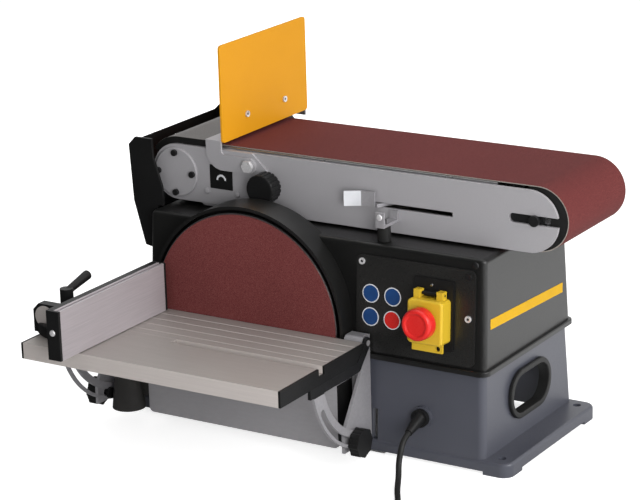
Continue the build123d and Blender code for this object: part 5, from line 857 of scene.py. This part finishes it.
cordTie = {
    "length": 0.0325, "width": 0.0050, "height": 0.0150, "thick": 0.0008, "corner": 0.00525, "cornerSteps": 6,
    "edge": 0.0002, "turn": 40.0, "reach": 0.0387, "knobSink": 0.0003, "body": "machine",
    "slot": "black_plastic"}
tieKnob = {"length": 0.0060, "height": 0.0056, "thick": 0.0034, "edge": 0.0006, "corner": 0.0010,
           "body": "machine", "slot": "black_plastic"}


def tieCoil():
    turn = math.radians(cordTie["turn"])
    outward = Vector((math.cos(turn), math.sin(turn), 0.0))
    place = Vector((*mainsLead["coilMiddle"], 0.0)) + outward * cordTie["reach"]
    deselectAll()
    bpy.ops.mesh.primitive_cube_add(size=1.0)
    band = bpy.context.object
    band.scale = (cordTie["length"], cordTie["width"], cordTie["height"])
    bpy.ops.object.transform_apply(scale=True)
    pickFaces(band, lambda center, normal: abs(normal.y) > squarely)
    bpy.ops.mesh.delete(type="FACE")
    pickEdges(band, lambda run: abs(run.y) > cordTie["width"] / 2)
    bpy.ops.mesh.bevel(offset=cordTie["corner"], segments=cordTie["cornerSteps"])
    leaveEdit()
    wall = band.modifiers.new("wall", "SOLIDIFY")
    wall.thickness = cordTie["thick"]
    wall.offset = 1.0
    bpy.ops.object.modifier_apply(modifier=wall.name)
    bevelEdges(band, cordTie["edge"])
    middle = place + upAxis * (cordTie["height"] / 2 + cordTie["thick"])
    settle(setDown(band, middle, upAxis, outward), "cordTie", plasticBlack)
    onto(band, cordTie["body"])
    top = place + upAxis * (cordTie["height"] + 2 * cordTie["thick"] - cordTie["knobSink"])
    fitted("cordTieHead", tieKnob, plasticBlack, top, upAxis, outward)


tieCoil()
mainsCord = layCord()
print("mains lead laid")


# camera, floor and light

viewPoint = {
    "aim": (-0.02192, -0.06150, 0.22198), "azimuth": 32.34, "elevation": 17.04, "roll": 1.71,
    "distance": 2.961, "lens": 138.8, "sensor": 36.0, "shift": (0.0094, -0.0006)}


def placeCamera():
    azimuth = math.radians(viewPoint["azimuth"])
    elevation = math.radians(viewPoint["elevation"])
    roll = math.radians(viewPoint["roll"])
    away = Vector((math.cos(elevation) * math.sin(azimuth), -math.cos(elevation) * math.cos(azimuth),
                   math.sin(elevation)))
    level = Vector((math.cos(azimuth), math.sin(azimuth), 0.0))
    up = away.cross(level)
    right = level * math.cos(roll) - up * math.sin(roll)
    upright = level * math.sin(roll) + up * math.cos(roll)
    camera = bpy.data.cameras.new("photoCamera")
    camera.lens = viewPoint["lens"]
    camera.sensor_width = viewPoint["sensor"]
    camera.shift_x, camera.shift_y = viewPoint["shift"]
    holder = linked("photoCamera", camera)
    holder.location = Vector(viewPoint["aim"]) + away * viewPoint["distance"]
    holder.rotation_euler = Matrix((right, upright, away)).transposed().to_euler()
    bpy.context.scene.camera = holder


placeCamera()

softLights = [
    {"name": "keyRight", "place": (2.2, -0.2, 1.3), "aim": (0.1, 0.0, 0.2), "size": 1.5, "energy": 34.0},
    {"name": "topSoft", "place": (-0.2, 0.6, 2.3), "aim": (0.0, 0.0, 0.25), "size": 1.8, "energy": 7.0},
    {"name": "backLeft", "place": (-2.0, 1.5, 0.9), "aim": (0.0, 0.0, 0.25), "size": 1.8, "energy": 40.0,
     "mirrored": False},
    {"name": "frontRight", "place": (1.05, -1.15, 0.50), "aim": (0.1, -0.1, 0.2), "size": 0.6, "energy": 13.0,
     "mirrored": False},
]
for look in softLights:
    lamp = bpy.data.lights.new(look["name"], "AREA")
    lamp.size = look["size"]
    lamp.energy = look["energy"]
    holder = linked(look["name"], lamp)
    holder.location = look["place"]
    holder.visible_glossy = look.get("mirrored", True)
    beam = Vector(look["aim"]) - Vector(look["place"])
    holder.rotation_euler = beam.to_track_quat("-Z", "Y").to_euler()

studio = {
    "floorSize": 40.0, "floorTint": 0.66, "floorGlow": 0.74, "ambient": 0.42,
    "brightSide": (0.50, 0.85, 0.20), "darkLevel": 0.05, "floorEdge": (-0.45, 0.65), "skyEdge": (-0.55, 0.70),
    # the floor inside the base's hollow, given by the two entries below, gets painted shadow without glow
    "baseShadowX": (-0.0675, 0.1675), "baseShadowY": (0.0, 0.112)}  # middle and half width of the base's hollow


def mathNode(tree, operation, first, second):
    step = tree.nodes.new("ShaderNodeMath")
    step.operation = operation
    for socket, value in zip(step.inputs, (first, second)):
        if isinstance(value, float):
            socket.default_value = value
        else:
            tree.links.new(value, socket)
    return step.outputs[0]


def seenBackground(tree):
    path = tree.nodes.new("ShaderNodeLightPath")
    glossy = path.outputs["Is Glossy Ray"]
    shown = mathNode(tree, "MAXIMUM", path.outputs["Is Camera Ray"], path.outputs["Is Transmission Ray"])
    return mathNode(tree, "MAXIMUM", shown, glossy), glossy


# reflections see a room that is dark at the front left and bright at the back right
def roomSide(tree, place, edge, glossy):
    side = tree.nodes.new("ShaderNodeVectorMath")
    side.operation = "DOT_PRODUCT"
    side.inputs[1].default_value = studio["brightSide"]
    tree.links.new(place, side.inputs[0])
    fade = tree.nodes.new("ShaderNodeMapRange")
    fade.interpolation_type = "SMOOTHSTEP"
    fade.inputs["From Min"].default_value = edge[0]
    fade.inputs["From Max"].default_value = edge[1]
    fade.inputs["To Min"].default_value = studio["darkLevel"]
    fade.inputs["To Max"].default_value = 1.0
    tree.links.new(side.outputs["Value"], fade.inputs["Value"])
    level = tree.nodes.new("ShaderNodeMapRange")
    level.inputs["To Min"].default_value = 1.0
    tree.links.new(glossy, level.inputs["Value"])
    tree.links.new(fade.outputs["Result"], level.inputs["To Max"])
    return level.outputs["Result"]


# painted shadow: no glow on the floor inside the hollow base, apart from its right end, so that floor stays
# dark
def clearOfBase(tree, position):
    place = tree.nodes.new("ShaderNodeSeparateXYZ")
    tree.links.new(position, place.inputs[0])
    sides = []
    for axis, middle, half in (("X", *studio["baseShadowX"]), ("Y", *studio["baseShadowY"])):
        away = mathNode(tree, "ABSOLUTE", mathNode(tree, "SUBTRACT", place.outputs[axis], middle), 0.0)
        sides.append(mathNode(tree, "GREATER_THAN", away, half))
    return mathNode(tree, "MAXIMUM", *sides)


def layFloor():
    deselectAll()
    bpy.ops.mesh.primitive_plane_add(size=studio["floorSize"], location=(0.0, 0.0, 0.0))
    floor = bpy.context.object
    floor.name = "studioFloor"
    material = bpy.data.materials.new("studioFloor")
    material.use_nodes = True
    tree = material.node_tree
    tree.nodes.clear()
    seen, glossy = seenBackground(tree)
    position = tree.nodes.new("ShaderNodeNewGeometry").outputs["Position"]
    side = roomSide(tree, position, studio["floorEdge"], glossy)
    diffuse = tree.nodes.new("ShaderNodeBsdfDiffuse")
    tree.links.new(mathNode(tree, "MULTIPLY", side, studio["floorTint"]), diffuse.inputs["Color"])
    glow = tree.nodes.new("ShaderNodeEmission")
    shown = mathNode(tree, "MULTIPLY", seen, studio["floorGlow"])
    # painted shadow: no glow inside the base's hollow
    shown = mathNode(tree, "MULTIPLY", shown, clearOfBase(tree, position))
    tree.links.new(mathNode(tree, "MULTIPLY", side, shown), glow.inputs["Strength"])
    both = tree.nodes.new("ShaderNodeAddShader")
    tree.links.new(diffuse.outputs[0], both.inputs[0])
    tree.links.new(glow.outputs[0], both.inputs[1])
    output = tree.nodes.new("ShaderNodeOutputMaterial")
    tree.links.new(both.outputs[0], output.inputs["Surface"])
    floor.data.materials.append(material)


def lightWorld():
    world = bpy.data.worlds.new("studioWorld")
    world.use_nodes = True
    tree = world.node_tree
    background = tree.nodes["Background"]
    background.inputs["Color"].default_value = (1.0, 1.0, 1.0, 1.0)
    seen, glossy = seenBackground(tree)
    direction = tree.nodes.new("ShaderNodeTexCoord").outputs["Generated"]
    side = roomSide(tree, direction, studio["skyEdge"], glossy)
    level = tree.nodes.new("ShaderNodeMapRange")
    level.inputs["To Min"].default_value = studio["ambient"]
    level.inputs["To Max"].default_value = 1.0
    tree.links.new(seen, level.inputs["Value"])
    strength = mathNode(tree, "MULTIPLY", side, level.outputs["Result"])
    tree.links.new(strength, background.inputs["Strength"])
    bpy.context.scene.world = world


layFloor()
lightWorld()
bpy.context.scene.view_settings.view_transform = "Standard"
print("camera, floor and light placed")
